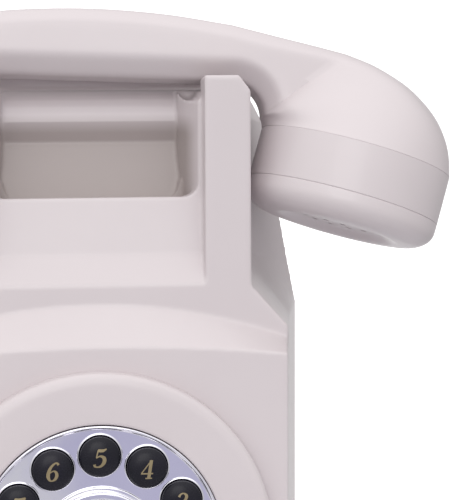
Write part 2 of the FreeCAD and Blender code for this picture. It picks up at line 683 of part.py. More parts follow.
def make_case_shell():
    """The moulded case: an open-backed shell with a dial hole, cord outlets and four screw bosses."""
    shell = case_outside().cut(case_cavity())
    face, wall = dim("face_depth"), dim("case_wall")
    outward = Vec(0, -1, 0)
    plate = dim("plate_thickness")
    for x, height in boss_places():
        boss = Part.makeCylinder(dim("boss_radius"), face - wall - plate + 1, Vec(x, -plate, height), outward)
        bore = Part.makeCylinder(dim("screw_bore"), dim("screw_bore_depth"), Vec(x, 0, height), outward)
        shell = shell.fuse(boss).cut(bore)
    shell = shell.cut(Part.makeCylinder(dim("dial_hole"), 20, Vec(0, 10 - face, 0), outward))
    plunger = Vec(-dim("plunger_offset"), -dim("plunger_depth"), dim("saddle_height") - 2 * wall)
    shell = shell.cut(Part.makeCylinder(dim("plunger_hole"), 3 * wall, plunger))
    middle, half = dim("outlet_depth"), dim("outlet_half_depth")
    outlets = [("line_socket_offset", "socket_half_width"), ("handset_socket_offset", "socket_half_width"),
               ("slider_offset", "slider_half_width")]
    for offset, half_width in outlets:
        across = (dim(offset) - dim(half_width), dim(offset) + dim(half_width))
        shell = shell.cut(box_between(across, (middle - half, middle + half), (-dim("case_bottom") - 10, -60)))
    return solid_feature("case_shell", shell.removeSplitter())


# ---------------------------------------------------------------- back plate and fasteners


def draw_at_bosses(sketch, radius):
    """One circle in line with each screw boss of the case."""
    for sign in ("-", ""):
        for height in ("-dims.boss_low", "dims.boss_high"):
            draw_circle(sketch, sign + "dims.boss_offset", height, radius)


def draw_wall_holes(sketch):
    """The two lower holes for the screws in the wall."""
    for sign in ("-", ""):
        draw_circle(sketch, sign + "dims.wall_screw_spacing / 2", "-dims.wall_screw_low", "dims.wall_screw_hole")


def draw_keyhole_neck(sketch):
    """The narrow part of the hanging slot, which runs up from the round part."""
    top = "dims.keyhole_height + dims.keyhole_length"
    draw_outline(sketch, rectangle("-dims.keyhole_slot", "dims.keyhole_slot", "dims.keyhole_height", top))


def back_plate_side():
    """The right-hand side of the back plate, bottom to top, as pairs of formulas."""
    side = "(dims.wall_half_width - dims.case_wall - dims.plate_gap - dims.plate_draft)"
    foot = "-dims.case_bottom + dims.case_wall"
    return [
        (side + " - dims.plate_corner", foot), (side, foot + " + dims.plate_corner"), (side, "dims.plate_side"),
        (side + " - dims.plate_bend_inset", "dims.plate_bend"),
        (side + " - dims.plate_high_inset", "dims.plate_high"),
        (side + " - dims.plate_top_inset", "dims.plate_top"),
    ]


def make_back_plate():
    """The plate that hangs on the wall, with a hanging slot, wall screw holes and case screw holes."""
    body = new_body("back_plate", Vec(0, 0, 0))
    right = back_plate_side()
    left = [("-(%s)" % x, y) for x, y in reversed(right)]
    top = "dims.plate_thickness"
    add_pad(body, "plate", lambda s: draw_outline(s, right + left), top)
    add_pocket(body, "wall_screw_holes", draw_wall_holes, top, top)
    add_pocket(body, "case_screw_holes", lambda s: draw_at_bosses(s, "dims.screw_bore"), top, top)
    add_pocket(body, "keyhole_round",
               lambda s: draw_circle(s, "0", "dims.keyhole_height", "dims.keyhole_radius"), top, top)
    add_pocket(body, "keyhole_neck", draw_keyhole_neck, top, top)
    add_pocket(body, "head_recesses",
               lambda s: draw_at_bosses(s, "dims.screw_head_radius + dims.head_clearance"), "dims.head_recess",
               "dims.head_recess")


def make_case_screws():
    """Four screws through the back plate into the bosses of the case."""
    sink, head_height = dim("screw_sink"), dim("screw_head_height")
    screws = []
    for number, (x, height) in enumerate(boss_places(), start=1):
        head = cylinder("case_screw_head_%d" % number, "dims.screw_head_radius", "dims.screw_head_height",
                        Vec(x, -sink, height))
        shank = cylinder("case_screw_shank_%d" % number, "dims.screw_radius", "dims.screw_length",
                         Vec(x, -sink - head_height, height))
        screws.append(fuse("case_screw_%d" % number, [head, shank]))
    keep(group("case_screw_set", screws), "case_screws")


# ---------------------------------------------------------------- the dial


def dial_place(level_alias):
    """A point on the dial's axis at a depth given by an alias."""
    return Vec(0, -dim(level_alias), 0)


def make_dial_bezel():
    """The ring round the dial: a flat face, a bevelled outer edge and a rim that locates it in the case."""
    body = new_body("dial_bezel", dial_place("face_depth"))
    outer, bore, high, edge = "dims.bezel_radius", "dims.bezel_bore", "dims.bezel_height", "dims.bezel_edge"
    corners = [(bore, "0"), (outer, "0"), (outer, "dims.bezel_side"),
               (outer + " - " + edge, high + " - dims.bezel_fall"),
               (outer + " - dims.bezel_slope", high), (bore + " + dims.bezel_lip", high),
               (bore, high + " - dims.bezel_lip")]
    add_turned(body, "ring", corners)

    def rim(sketch):
        draw_circle(sketch, "0", "0", "dims.bezel_spigot")
        draw_circle(sketch, "0", "0", "dims.bezel_bore")

    pad = add_pad(body, "locating_rim", rim, "dims.case_wall")
    pad.Reversed = True
    doc.recompute()


def draw_button_hole(radius):
    """A drawing of one button hole, at the top of the ring of buttons."""
    return lambda sketch: draw_circle(sketch, "0", "dims.button_circle", radius)


def make_face_plate():
    """The chrome disc with twelve button holes, a rolled rim round its edge and one round each hole."""
    body = new_body("dial_face_plate", dial_place("plate_level"))
    add_pad(body, "disc", lambda s: draw_circle(s, "0", "0", "dims.plate_radius"), "dims.plate_sheet")

    def outer_rim(sketch):
        draw_circle(sketch, "0", "0", "dims.plate_radius")
        draw_circle(sketch, "0", "0", "dims.plate_radius - 2 * dims.plate_rim")

    def hole_rim(sketch):
        draw_circle(sketch, "0", "dims.button_circle", "dims.button_hole + dims.plate_rim")

    add_pad(body, "outer_rim", outer_rim, "dims.plate_rim", "dims.plate_sheet")
    rim = add_pad(body, "hole_rim", hole_rim, "dims.plate_rim / 2", "dims.plate_sheet")
    add_polar(body, "hole_rims", rim, "dims.button_count")
    hole = add_pocket(body, "button_hole", draw_button_hole("dims.button_hole"), "10", "dims.plate_sheet + 5")
    add_polar(body, "button_holes", hole, "dims.button_count")


def make_centre():
    """The chrome ring at the middle of the dial, its blank label and the clear disc over the label."""
    front = dim("plate_level") + dim("plate_sheet")
    ring = new_body("centre_ring", Vec(0, -front, 0))
    outer, bore, high = "dims.ring_radius", "dims.ring_bore", "dims.ring_height"
    bevel = "dims.ring_bevel"
    add_turned(ring, "ring", [(bore, "0"), (outer, "0"), (outer, "dims.ring_side"),
                              (outer + " - 1.5 * " + bevel, high + " - " + bevel),
                              (outer + " - 3 * " + bevel, high), (bore + " + " + bevel, high),
                              (bore, high + " - " + bevel)])
    label = cylinder("label_disc", "dims.ring_bore - 2 * dims.lens_gap", "dims.label_thickness",
                     Vec(0, -front, 0))
    keep(label, "centre_label")
    lens = new_body("label_lens", Vec(0, -front - dim("label_thickness"), 0))
    rim, thick = "dims.ring_bore - dims.lens_gap", "dims.lens_thickness"
    add_turned(lens, "disc", [("0", "0"), (rim, "0"), (rim, thick + " - dims.lens_bevel"),
                              (rim + " - 2 * dims.lens_bevel", thick), ("0", thick + " + dims.lens_crown")])


def make_keypad_frame():
    """The carrier behind the face plate: a guide disc with twelve holes, a flange and a rim for the board."""
    body = new_body("keypad_frame", Vec(0, 0, 0))
    level = "dims.frame_level"
    add_pad(body, "guide_disc", lambda s: draw_circle(s, "0", "0", "dims.plate_radius"),
            "dims.plate_level - dims.frame_level", level)
    hole = add_pocket(body, "guide_hole", draw_button_hole("dims.button_hole"), "20", "dims.plate_level + 5")
    add_polar(body, "guide_holes", hole, "dims.button_count")

    def rim(sketch):
        draw_circle(sketch, "0", "0", "dims.plate_radius")
        draw_circle(sketch, "0", "0", "dims.frame_rim_bore")

    def flange(sketch):
        draw_circle(sketch, "0", "0", "dims.frame_flange_radius")
        draw_circle(sketch, "0", "0", "dims.frame_rim_bore")

    board_front = "dims.board_level + dims.board_thickness"
    add_pad(body, "rim", rim, "%s - (%s)" % (level, board_front), board_front)
    add_pad(body, "flange", flange, "dims.frame_flange_height", "dims.frame_flange_level")


def make_keypad_mat():
    """The rubber mat with a spring dome behind each button."""
    back = "dims.board_level + dims.board_thickness"
    body = new_body("keypad_mat", Vec(0, -size(back), 0))
    add_pad(body, "sheet", lambda s: draw_circle(s, "0", "0", "dims.mat_radius"), "dims.mat_thickness")
    dome = add_pad(body, "dome", draw_button_hole("dims.mat_dome_radius"), "dims.mat_dome_height",
                   "dims.mat_thickness")
    add_polar(body, "domes", dome, "dims.button_count")


def make_keypad_board():
    """The round circuit board that closes the back of the keypad."""
    body = new_body("keypad_board", dial_place("board_level"))
    add_pad(body, "board", lambda s: draw_circle(s, "0", "0", "dims.plate_radius"), "dims.board_thickness")


def make_dial_screws():
    """Three screws that hold the keypad's flange to the front of the case."""
    screws = []
    for number, degrees in enumerate((90, 210, 330), start=1):
        angle = math.radians(degrees)
        reach = dim("frame_flange_radius") - dim("dial_screw_inset")
        depth = dim("frame_flange_level") - dim("dial_screw_height")
        place = Vec(reach * math.cos(angle), -depth, reach * math.sin(angle))
        screws.append(cylinder("dial_screw_%d" % number, "dims.dial_screw_radius", "dims.dial_screw_height",
                               place))
    keep(group("dial_screw_set", screws), "dial_screws")


def make_button(label, position):
    """One button: a round stem with a domed front and a flange at its back."""
    body = new_body(label, Vec(position[0], -dim("button_flange_level"), position[1]))
    radius, flange, thick = "dims.button_radius", "dims.button_flange", "dims.button_flange_height"
    side_top = "dims.plate_level + dims.plate_sheet + dims.button_stand - dims.button_flange_level"
    dome = "(%s + dims.button_dome)" % side_top
    corners = [("0", "0"), (flange, "0"), (flange, thick), (radius, thick), (radius, side_top)]
    for degrees in (25, 50, 70):
        share = math.radians(degrees)
        corners.append(("%s * %.4f" % (radius, math.cos(share)),
                        "%s + dims.button_dome * %.4f" % (side_top, math.sin(share))))
    corners.append(("0", dome))
    add_turned(body, "stem", corners)


BUTTONS = ["5", "4", "3", "2", "1", "hash", "star", "0", "9", "8", "7", "6"]  # clockwise from the top


def make_buttons():
    """The twelve buttons, clockwise from the top."""
    for number, name in enumerate(BUTTONS):
        angle = math.radians(90 - 360 * number / len(BUTTONS))
        circle = dim("button_circle")
        make_button("button_" + name, (circle * math.cos(angle), circle * math.sin(angle)))


# ---------------------------------------------------------------- inside the case


def make_main_board():
    """The main circuit board on four short pillars, and its screws."""
    middle, level, height = dim("main_board_offset"), dim("main_board_level"), dim("main_board_height")
    body = new_body("main_board", Vec(middle, -level, height))
    board = centred_rectangle("dims.main_board_width", "dims.main_board_length")
    relay = centred_rectangle("dims.relay_width", "dims.relay_length", "dims.relay_offset", "dims.relay_rise")
    add_pad(body, "board", lambda s: draw_outline(s, board), "dims.board_thickness")
    add_pad(body, "relay", lambda s: draw_outline(s, relay), "dims.relay_height", "dims.board_thickness")
    across = dim("main_board_width") / 2 - dim("pillar_inset")
    along = dim("main_board_length") / 2 - dim("pillar_inset")
    plate, front = dim("plate_thickness"), level + dim("board_thickness")
    pillars, heads = [], []
    for number, (x_side, z_side) in enumerate(((-1, -1), (1, -1), (-1, 1), (1, 1)), start=1):
        x, z = middle + x_side * across, height + z_side * along
        pillars.append(cylinder("board_pillar_%d" % number, "dims.pillar_radius",
                                "dims.main_board_level - dims.plate_thickness", Vec(x, -plate, z)))
        heads.append(cylinder("board_screw_head_%d" % number, "dims.board_screw_radius",
                              "dims.board_screw_height", Vec(x, -front, z)))
    keep(group("pillar_set", pillars), "board_pillars")
    keep(group("board_screw_set", heads), "board_screws")


def make_plunger(x, y):
    """The plunger of the hook switch, with a rounded nose and a flange at its foot."""
    body = new_body("hook_plunger", Vec(x, y, dim("plunger_low")), NO_TURN)
    radius, flange, thick = "dims.plunger_radius", "dims.plunger_flange", "dims.plunger_flange_height"
    length, nose = "(dims.plunger_top - dims.plunger_low)", "dims.plunger_nose"
    add_turned(body, "pin", [("0", "0"), (flange, "0"), (flange, thick), (radius, thick),
                             (radius, length + " - " + nose), (radius + " * 0.8", length + " - %s / 3" % nose),
                             (radius + " * 0.4", length), ("0", length)])


def make_hook_spring(x, y):
    """The spring under the plunger, as a thin sleeve as wide as its coils."""
    low, length = Vec(x, y, dim("spring_low")), "dims.plunger_low - dims.spring_low"
    coil = cylinder("spring_outside", "dims.spring_radius", length, low, NO_TURN)
    hollow = cylinder("spring_inside", "dims.spring_radius - dims.spring_wire", length, low, NO_TURN)
    keep(cut("spring_tube", coil, hollow), "hook_spring")


def make_hook_bracket(x, y):
    """The angle bracket that carries the spring, with its foot on the back plate."""
    low, sheet_metal, plate = dim("spring_low"), dim("bracket_sheet"), dim("plate_thickness")
    left = x - dim("bracket_width") / 2
    reach = "dims.plunger_depth + dims.bracket_reach - dims.plate_thickness"
    seat = block("bracket_seat", ("dims.bracket_width", reach, "dims.bracket_sheet"),
                 Vec(left, y - dim("bracket_reach"), low - sheet_metal))
    foot = block("bracket_foot", ("dims.bracket_width", "dims.bracket_sheet", "dims.bracket_foot"),
                 Vec(left, -plate - sheet_metal, low - dim("bracket_foot")))
    keep(fuse("bracket", [seat, foot]), "hook_bracket")


def make_hook_switch():
    """Plunger, spring, bracket and micro switch in the left cheek."""
    x, y, low = -dim("plunger_offset"), -dim("plunger_depth"), dim("spring_low")
    make_plunger(x, y)
    make_hook_spring(x, y)
    make_hook_bracket(x, y)
    near = y + dim("switch_gap")
    switch = block("switch_case", ("dims.switch_width", "dims.switch_depth", "dims.switch_height"),
                   Vec(x - dim("switch_width") / 2, near, low))
    lever_y = near + dim("lever_bite") - dim("lever_sheet")
    lever = block("switch_lever", ("dims.lever_width", "dims.lever_sheet", "dims.lever_length"),
                  Vec(x - dim("lever_width") / 2, lever_y, low + dim("lever_rise")))
    keep(fuse("switch", [switch, lever]), "micro_switch")


def make_gong(label, x):
    """A shallow bell, open towards the wall."""
    body = new_body(label, Vec(x, -dim("gong_level"), -dim("gong_low")))
    outer, high, metal = "dims.gong_radius", "dims.gong_height", "dims.gong_metal"
    inner, roof = outer + " - " + metal, high + " - " + metal
    corners = [(outer, "0"), (outer + " * 0.97", high + " * 0.45"), (outer + " * 0.82", high + " * 0.82"),
               (outer + " * 0.5", high), ("dims.gong_hole", high), ("dims.gong_hole", roof),
               (outer + " * 0.48", roof), (outer + " * 0.78", high + " * 0.82 - " + metal),
               (outer + " * 0.97 - " + metal, high + " * 0.42"), (inner, "0")]
    add_turned(body, "bell", corners)


def make_ringer_chassis():
    """The ringer's plate with four feet, the two posts that carry the gongs, and the clapper's axle."""
    offset, low, level = dim("gong_offset"), dim("gong_low"), dim("ringer_level")
    half, front = dim("ringer_width") / 2, level + dim("ringer_sheet")
    foot, inset, high = dim("ringer_foot"), dim("ringer_foot_inset"), dim("clapper_pivot_height")
    bottom = -low - 2 * foot
    plate = block("ringer_plate", ("dims.ringer_width", "dims.ringer_sheet", "dims.ringer_height"),
                  Vec(-half, -front, bottom))
    pieces = [plate]
    corners = [(x, z) for z in (bottom + inset, high) for x in (inset - half, half - foot - inset)]
    for number, (x, z) in enumerate(corners, start=1):
        pieces.append(block("ringer_foot_%d" % number,
                            ("dims.ringer_foot", "dims.ringer_level - dims.plate_thickness", "dims.ringer_foot"),
                            Vec(x, -level, z)))
    reach = "dims.gong_level + dims.gong_height - dims.ringer_level - dims.ringer_sheet"
    for number, x in enumerate((-offset, offset), start=1):
        pieces.append(cylinder("gong_post_%d" % number, "dims.gong_post", reach, Vec(x, -front, -low)))
    reach = "dims.clapper_level - dims.ringer_level - dims.ringer_sheet + dims.axle_overhang"
    pieces.append(cylinder("clapper_axle", "dims.axle_radius", reach, Vec(0, -front, high)))
    keep(fuse("ringer_chassis", pieces), "ringer_frame")


def make_clapper():
    """The clapper: a hub on the axle, an arm and a ball between the gongs."""
    depth, pivot = dim("clapper_level"), dim("clapper_pivot_height")
    half_hub, start = dim("clapper_hub_height") / 2, dim("clapper_arm_start")
    hub = cylinder("clapper_hub", "dims.clapper_hub", "dims.clapper_hub_height", Vec(0, half_hub - depth, pivot))
    eye = cylinder("clapper_eye", "dims.clapper_eye", "2 * dims.clapper_hub_height",
                   Vec(0, 2 * half_hub - depth, pivot))
    arm = cylinder("clapper_rod", "dims.clapper_arm", "dims.clapper_length - dims.clapper_arm_start",
                   Vec(0, -depth, pivot - start), DOWNWARD)
    ball = doc.addObject("Part::Sphere", "clapper_bob")
    ball.setExpression("Radius", "dims.clapper_ball")
    ball.Placement = FreeCAD.Placement(Vec(0, -depth, pivot - dim("clapper_length")), NO_TURN)
    keep(cut("clapper_assembly", fuse("clapper_pieces", [hub, arm, ball]), eye), "bell_clapper")


def make_ringer():
    """The bell: chassis, coil, two gongs with their screws, and the clapper that hangs between them."""
    offset, low = dim("gong_offset"), dim("gong_low")
    make_gong("gong_left", -offset)
    make_gong("gong_right", offset)
    make_ringer_chassis()
    crest = dim("gong_level") + dim("gong_height")
    heads = []
    for number, x in enumerate((-offset, offset), start=1):
        heads.append(cylinder("gong_screw_%d" % number, "dims.gong_screw_radius", "dims.gong_screw_height",
                              Vec(x, -crest, -low)))
    keep(group("gong_screw_set", heads), "gong_screws")
    depth = dim("ringer_level") + dim("ringer_sheet") + dim("coil_radius") + dim("coil_gap")
    coil = cylinder("coil_winding", "dims.coil_radius", "dims.coil_length",
                    Vec(-dim("coil_length") / 2, -depth, -dim("coil_drop")), ALONG_X)
    keep(coil, "ringer_coil")
    make_clapper()


def make_socket(label):
    """A cord socket in the bottom of the case, open downwards."""
    foot, depth, wall = -dim("case_bottom"), dim("outlet_depth"), dim("socket_wall")
    half_width = dim("socket_half_width") - dim("outlet_gap")
    half_depth = dim("outlet_half_depth") - dim("outlet_gap")
    left = dim(label + "_offset") - half_width
    width = "2 * (dims.socket_half_width - dims.outlet_gap)"
    thick = "2 * (dims.outlet_half_depth - dims.outlet_gap)"
    walls = " - 2 * dims.socket_wall"
    housing = block(label + "_housing", (width, thick, "dims.socket_height"),
                    Vec(left, -depth - half_depth, foot))
    mouth = block(label + "_mouth", (width + walls, thick + walls, "dims.socket_height" + walls),
                  Vec(left + wall, -depth - half_depth + wall, foot - 1))
    keep(cut(label + "_shape", housing, mouth), label)


def make_outlets():
    """The two cord sockets and the ringer volume switch in the bottom of the case."""
    make_socket("line_socket")
    make_socket("handset_socket")
    foot, depth, middle = -dim("case_bottom"), dim("outlet_depth"), dim("slider_offset")
    half_width = dim("slider_half_width") + dim("slider_housing_margin")
    housing = block("slider_housing", ("2 * (dims.slider_half_width + dims.slider_housing_margin)",
                                       "dims.slider_housing_depth", "dims.slider_housing_height"),
                    Vec(middle - half_width, -depth - dim("slider_housing_depth") / 2,
                        foot + dim("slider_housing_rise")))
    keep(housing, "ringer_switch_housing")
    grip = block("slider_grip", ("dims.slider_grip_width", "dims.slider_grip_depth", "dims.slider_grip_height"),
                 Vec(middle - dim("slider_grip_width") / 2, -depth - dim("slider_grip_depth") / 2,
                     foot - dim("slider_grip_drop")))
    keep(grip, "volume_slider")


# ---------------------------------------------------------------- the handset


def handset_frame():
    """Where the handset lies: rolled a little, with its caps leaning away from the wall."""
    roll = FreeCAD.Rotation(Vec(0, 1, 0), dim("handset_roll"))
    lean = FreeCAD.Rotation(Vec(1, 0, 0), -dim("handset_lean"))
    return FreeCAD.Placement(Vec(0, -dim("handset_depth"), dim("handset_height")), roll.multiply(lean))


def ear_frame(side):
    """The middle of an ear's seam in the handset's frame, with +Z out of the cap."""
    tilt = FreeCAD.Rotation(Vec(0, 1, 0), 180 + side * dim("ear_tilt"))
    return FreeCAD.Placement(Vec(side * dim("ear_offset"), 0, -dim("ear_drop")), tilt)


def handset_side_profile(inset):
    """The handset's outline seen from the front, drawn in U and W and moved in by an inset."""
    crown, thick = dim("crown_radius") - inset, dim("handle_thickness") - inset
    crown_centre = thick - crown
    crown_end = dim("crown_end")
    crown_low = crown_centre + math.sqrt(crown ** 2 - crown_end ** 2)
    slope = crown_end / math.sqrt(crown ** 2 - crown_end ** 2)
    shoulder_u, shoulder_w = dim("shoulder_end"), crown_low - slope * (dim("shoulder_end") - crown_end)
    end, round_end = dim("handset_half_length") - inset, dim("end_round") - inset
    angle = math.atan(slope)
    centre = Vec(end - round_end, 0, shoulder_w - round_end * math.cos(angle))
    half = math.radians(45) + angle / 2
    on_arc = centre + Vec(round_end * math.cos(half), 0, round_end * math.sin(half))
    arc_start = centre + Vec(round_end * math.sin(angle), 0, round_end * math.cos(angle))
    deep = -3 * dim("ear_drop")
    neck, inner = dim("neck_round") + inset, dim("neck_end") + inset
    neck_centre = Vec(inner - neck, 0, inset - neck)
    diagonal = neck * math.sqrt(0.5)
    neck_middle = neck_centre + Vec(diagonal, 0, diagonal)
    right = [
        Part.LineSegment(Vec(crown_end, 0, crown_low), arc_start),
        Part.Arc(arc_start, on_arc, Vec(end, 0, centre.z)),
        Part.LineSegment(Vec(end, 0, centre.z), Vec(end, 0, deep)),
        Part.LineSegment(Vec(end, 0, deep), Vec(inner, 0, deep)),
        Part.LineSegment(Vec(inner, 0, deep), Vec(inner, 0, neck_centre.z)),
        Part.Arc(Vec(inner, 0, neck_centre.z), neck_middle, Vec(neck_centre.x, 0, inset)),
    ]
    edges = [item.toShape() for item in right]
    mirrored = [edge.mirror(Vec(0, 0, 0), Vec(1, 0, 0)) for edge in edges]
    crown_arc = Part.Arc(Vec(-crown_end, 0, crown_low), Vec(0, 0, thick), Vec(crown_end, 0, crown_low)).toShape()
    under = Part.LineSegment(Vec(-neck_centre.x, 0, inset), Vec(neck_centre.x, 0, inset)).toShape()
    wire = Part.Wire(Part.__sortEdges__(edges + mirrored + [crown_arc, under]))
    return Part.Face(wire)


def handset_plan(inset):
    """The handset's outline seen from above, drawn in U and V and moved in by an inset."""
    half = dim("handle_half_depth") - inset
    radius, offset = dim("ear_radius") - inset, dim("ear_offset")
    straight_end, flare_angle = dim("handle_straight"), math.radians(dim("flare_angle"))
    touch = Vec(offset + radius * math.cos(flare_angle), radius * math.sin(flare_angle), 0)
    edges = []
    for u_sign in (-1, 1):
        for v_sign in (-1, 1):
            start = Vec(u_sign * straight_end, v_sign * half, 0)
            edges.append(Part.LineSegment(start, Vec(u_sign * touch.x, v_sign * touch.y, 0)).toShape())
        tip = Vec(u_sign * (offset + radius), 0, 0)
        low, high = Vec(u_sign * touch.x, -touch.y, 0), Vec(u_sign * touch.x, touch.y, 0)
        edges.append(Part.Arc(low, tip, high).toShape())
    for v_sign in (-1, 1):
        ends = [Vec(u_sign * straight_end, v_sign * half, 0) for u_sign in (-1, 1)]
        edges.append(Part.LineSegment(ends[0], ends[1]).toShape())
    return Part.Face(Part.Wire(Part.__sortEdges__(edges)))


def handset_solid(inset):
    """The whole handset above its seams, as a block moved in by an inset."""
    side = handset_side_profile(inset)
    side.translate(Vec(0, -FAR / 2, 0))
    plan = handset_plan(inset)
    plan.translate(Vec(0, 0, -FAR / 2))
    return side.extrude(Vec(0, FAR, 0)).common(plan.extrude(Vec(0, 0, FAR)))


def below_seam(side, depth):
    """A slab on the cap's side of an ear's seam, starting a depth past it."""
    reach = 2.5 * dim("ear_radius")
    slab = Part.makeBox(2 * reach, 2 * reach, FAR, Vec(-reach, -reach, depth))
    slab.Placement = ear_frame(side)
    return slab


def handset_bevels():
    """Wedges that bevel the two long lower edges of the handle."""
    half, bevel = dim("handle_half_depth"), dim("handle_bevel")
    length = 2 * dim("neck_end")
    wedges = []
    for sign in (-1, 1):
        outline = [(half - bevel, -bevel), (half + bevel, -bevel), (half + bevel, bevel), (half, bevel),
                   (half - bevel, 0)]
        corners = [Vec(-length / 2, sign * v, w) for v, w in outline]
        wedges.append(Part.Face(Part.makePolygon(corners + [corners[0]])).extrude(Vec(length, 0, 0)))
    return wedges


def make_handset_shell():
    """The hollow handset moulding: handle and both ears down to their seams."""
    wall = dim("shell_wall")
    shell = handset_solid(0.0)
    hollow = handset_solid(wall)
    for side in (-1, 1):
        shell = shell.cut(below_seam(side, 0))
    shell = shell.cut(hollow)
    for wedge in handset_bevels():
        shell = shell.cut(wedge)
    gap = dim("jack_gap")
    width, height = dim("jack_width") + 2 * gap, dim("jack_height") + 2 * gap
    start = Vec(-dim("handset_half_length") - wall, -width / 2, -dim("jack_low") - gap)
    shell = shell.cut(Part.makeBox(dim("jack_length") + 3 * wall, width, height, start))
    solid_feature("handset_shell", shell.removeSplitter(), handset_frame())


def ear_place(side, along):
    """The place of a part on an ear's axis, a distance past the seam."""
    return handset_frame().multiply(ear_frame(side)).multiply(FreeCAD.Placement(Vec(0, 0, along), NO_TURN))


def make_collar(label, side):
    """The ring between an ear's two seams."""
    place = ear_place(side, 0)
    body = new_body(label, place.Base, place.Rotation)
    outer, bore, high = "dims.ear_radius", "dims.ear_radius - dims.shell_wall", "dims.collar_height"
    add_turned(body, "ring", [(bore, "0"), (outer, "0"), (outer, high), (bore, high)])


def make_cap(label, side, hole_count):
    """The cap on an ear: a rounded edge, and a shallow dish with two rings of sound holes."""
    place = ear_place(side, dim("collar_height"))
    body = new_body(label, place.Base, place.Rotation)
    outer, high, wall = "dims.ear_radius", "dims.cap_height", "dims.shell_wall"
    crest, dish, floor = "dims.cap_crest", "dims.cap_dish_radius", "(dims.cap_height - dims.cap_dish)"
    corners = [(outer + " - " + wall, "0"), (outer, "0"), (outer, high + " * 0.32"),
               (outer + " - 1.0", high + " * 0.56"), (outer + " - 3.4", high + " * 0.78"),
               (outer + " - 7.5", high + " * 0.94"), (crest, high), (dish, floor), ("0", floor),
               ("0", floor + " - " + wall), (dish, floor + " - " + wall), (crest, high + " - " + wall),
               (outer + " - " + wall + " - 1", high + " * 0.3")]
    add_turned(body, "dome", corners)
    rings = [("dims.sound_ring_inner", hole_count // 2), ("dims.sound_ring_outer", hole_count)]
    for number, (ring, count) in enumerate(rings, start=1):
        hole = add_pocket(body, "sound_hole_%d" % number,
                          lambda s, r=ring: draw_circle(s, "0", r, "dims.sound_hole"), "2 * dims.cap_height",
                          "dims.cap_height + 1")
        add_polar(body, "sound_holes_%d" % number, hole, str(count))


def make_capsule(label, side, kind):
    """A round capsule inside an ear."""
    place = ear_place(side, dim(kind + "_level"))
    capsule = cylinder(label + "_can", "dims.capsule_radius", "dims.%s_height" % kind, place.Base,
                       place.Rotation)
    keep(capsule, label)


def placed_block(name, lengths, corner):
    """A box in the handset's own frame, from its lowest corner."""
    part = block(name, lengths, Vec(0, 0, 0))
    part.Placement = handset_frame().multiply(FreeCAD.Placement(corner, NO_TURN))
    return part


def make_jack():
    """The cord jack in the mouthpiece end, open outwards."""
    wall, sill = dim("jack_wall"), dim("jack_sill")
    corner = Vec(dim("jack_inset") - dim("handset_half_length"), -dim("jack_width") / 2, -dim("jack_low"))
    housing = placed_block("jack_housing", ("dims.jack_length", "dims.jack_width", "dims.jack_height"), corner)
    mouth = placed_block("jack_mouth", ("dims.jack_length - dims.jack_wall",
                                        "dims.jack_width - 2 * dims.jack_wall",
                                        "dims.jack_height - 2 * dims.jack_sill"), corner + Vec(-wall, wall, sill))
    keep(cut("jack_shape", housing, mouth), "handset_jack")


def make_handset():
    """Every piece that lifts with the handset."""
    make_handset_shell()
    make_collar("earpiece_collar", 1)
    make_cap("earpiece_cap", 1, 12)
    make_capsule("receiver_capsule", 1, "receiver")
    make_collar("mouthpiece_collar", -1)
    make_cap("mouthpiece_cap", -1, 16)
    make_capsule("microphone_capsule", -1, "microphone")
    corner = Vec(-dim("weight_length") / 2, -dim("weight_width") / 2, dim("shell_wall") + 0.02)
    weight = placed_block("weight_bar", ("dims.weight_length", "dims.weight_width", "dims.weight_height"), corner)
    keep(weight, "handset_weight")
    make_jack()


# ---------------------------------------------------------------- build, check and write


def check_document():
    """Stop if any object failed, or if a sub-part has no valid solid."""
    for item in doc.Objects:
        if "Invalid" in item.State or "Error" in item.State:
            raise RuntimeError("%s (%s) failed: %s" % (item.Name, item.Label, item.State))
    for label, part in subparts.items():
        if part.Shape.isNull() or not part.Shape.isValid() or not part.Shape.Solids:
            raise RuntimeError("%s has no valid solid" % label)


def write_parts():
    """Write each sub-part to its own STEP file."""
    os.makedirs("parts", exist_ok=True)
    for label, part in subparts.items():
        part.Shape.exportStep("parts/%s.step" % label)


make_case_shell()
make_back_plate()
make_case_screws()
make_dial_bezel()
make_face_plate()
make_centre()
make_keypad_frame()
make_keypad_mat()
make_keypad_board()
make_dial_screws()
make_buttons()
make_main_board()
make_hook_switch()
make_ringer()
make_outlets()
make_handset()
doc.recompute()
check_document()
write_parts()
for name in sorted(subparts):
    solid = subparts[name].Shape
    print("%-24s %9.1f mm3  %d solid(s)" % (name, solid.Volume, len(solid.Solids)))
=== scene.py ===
"""Looks for the wall telephone: moulded ivory, chrome dial, domed buttons with numerals, light and camera.

Sizes are in millimetres and are turned into metres where a mesh is made.  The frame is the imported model's:
+X right, +Y into the wall, +Z up, with the origin on the wall plane behind the centre of the dial.
"""

import json
import math

import bmesh
import bpy
import numpy as np
from mathutils import Matrix, Vector


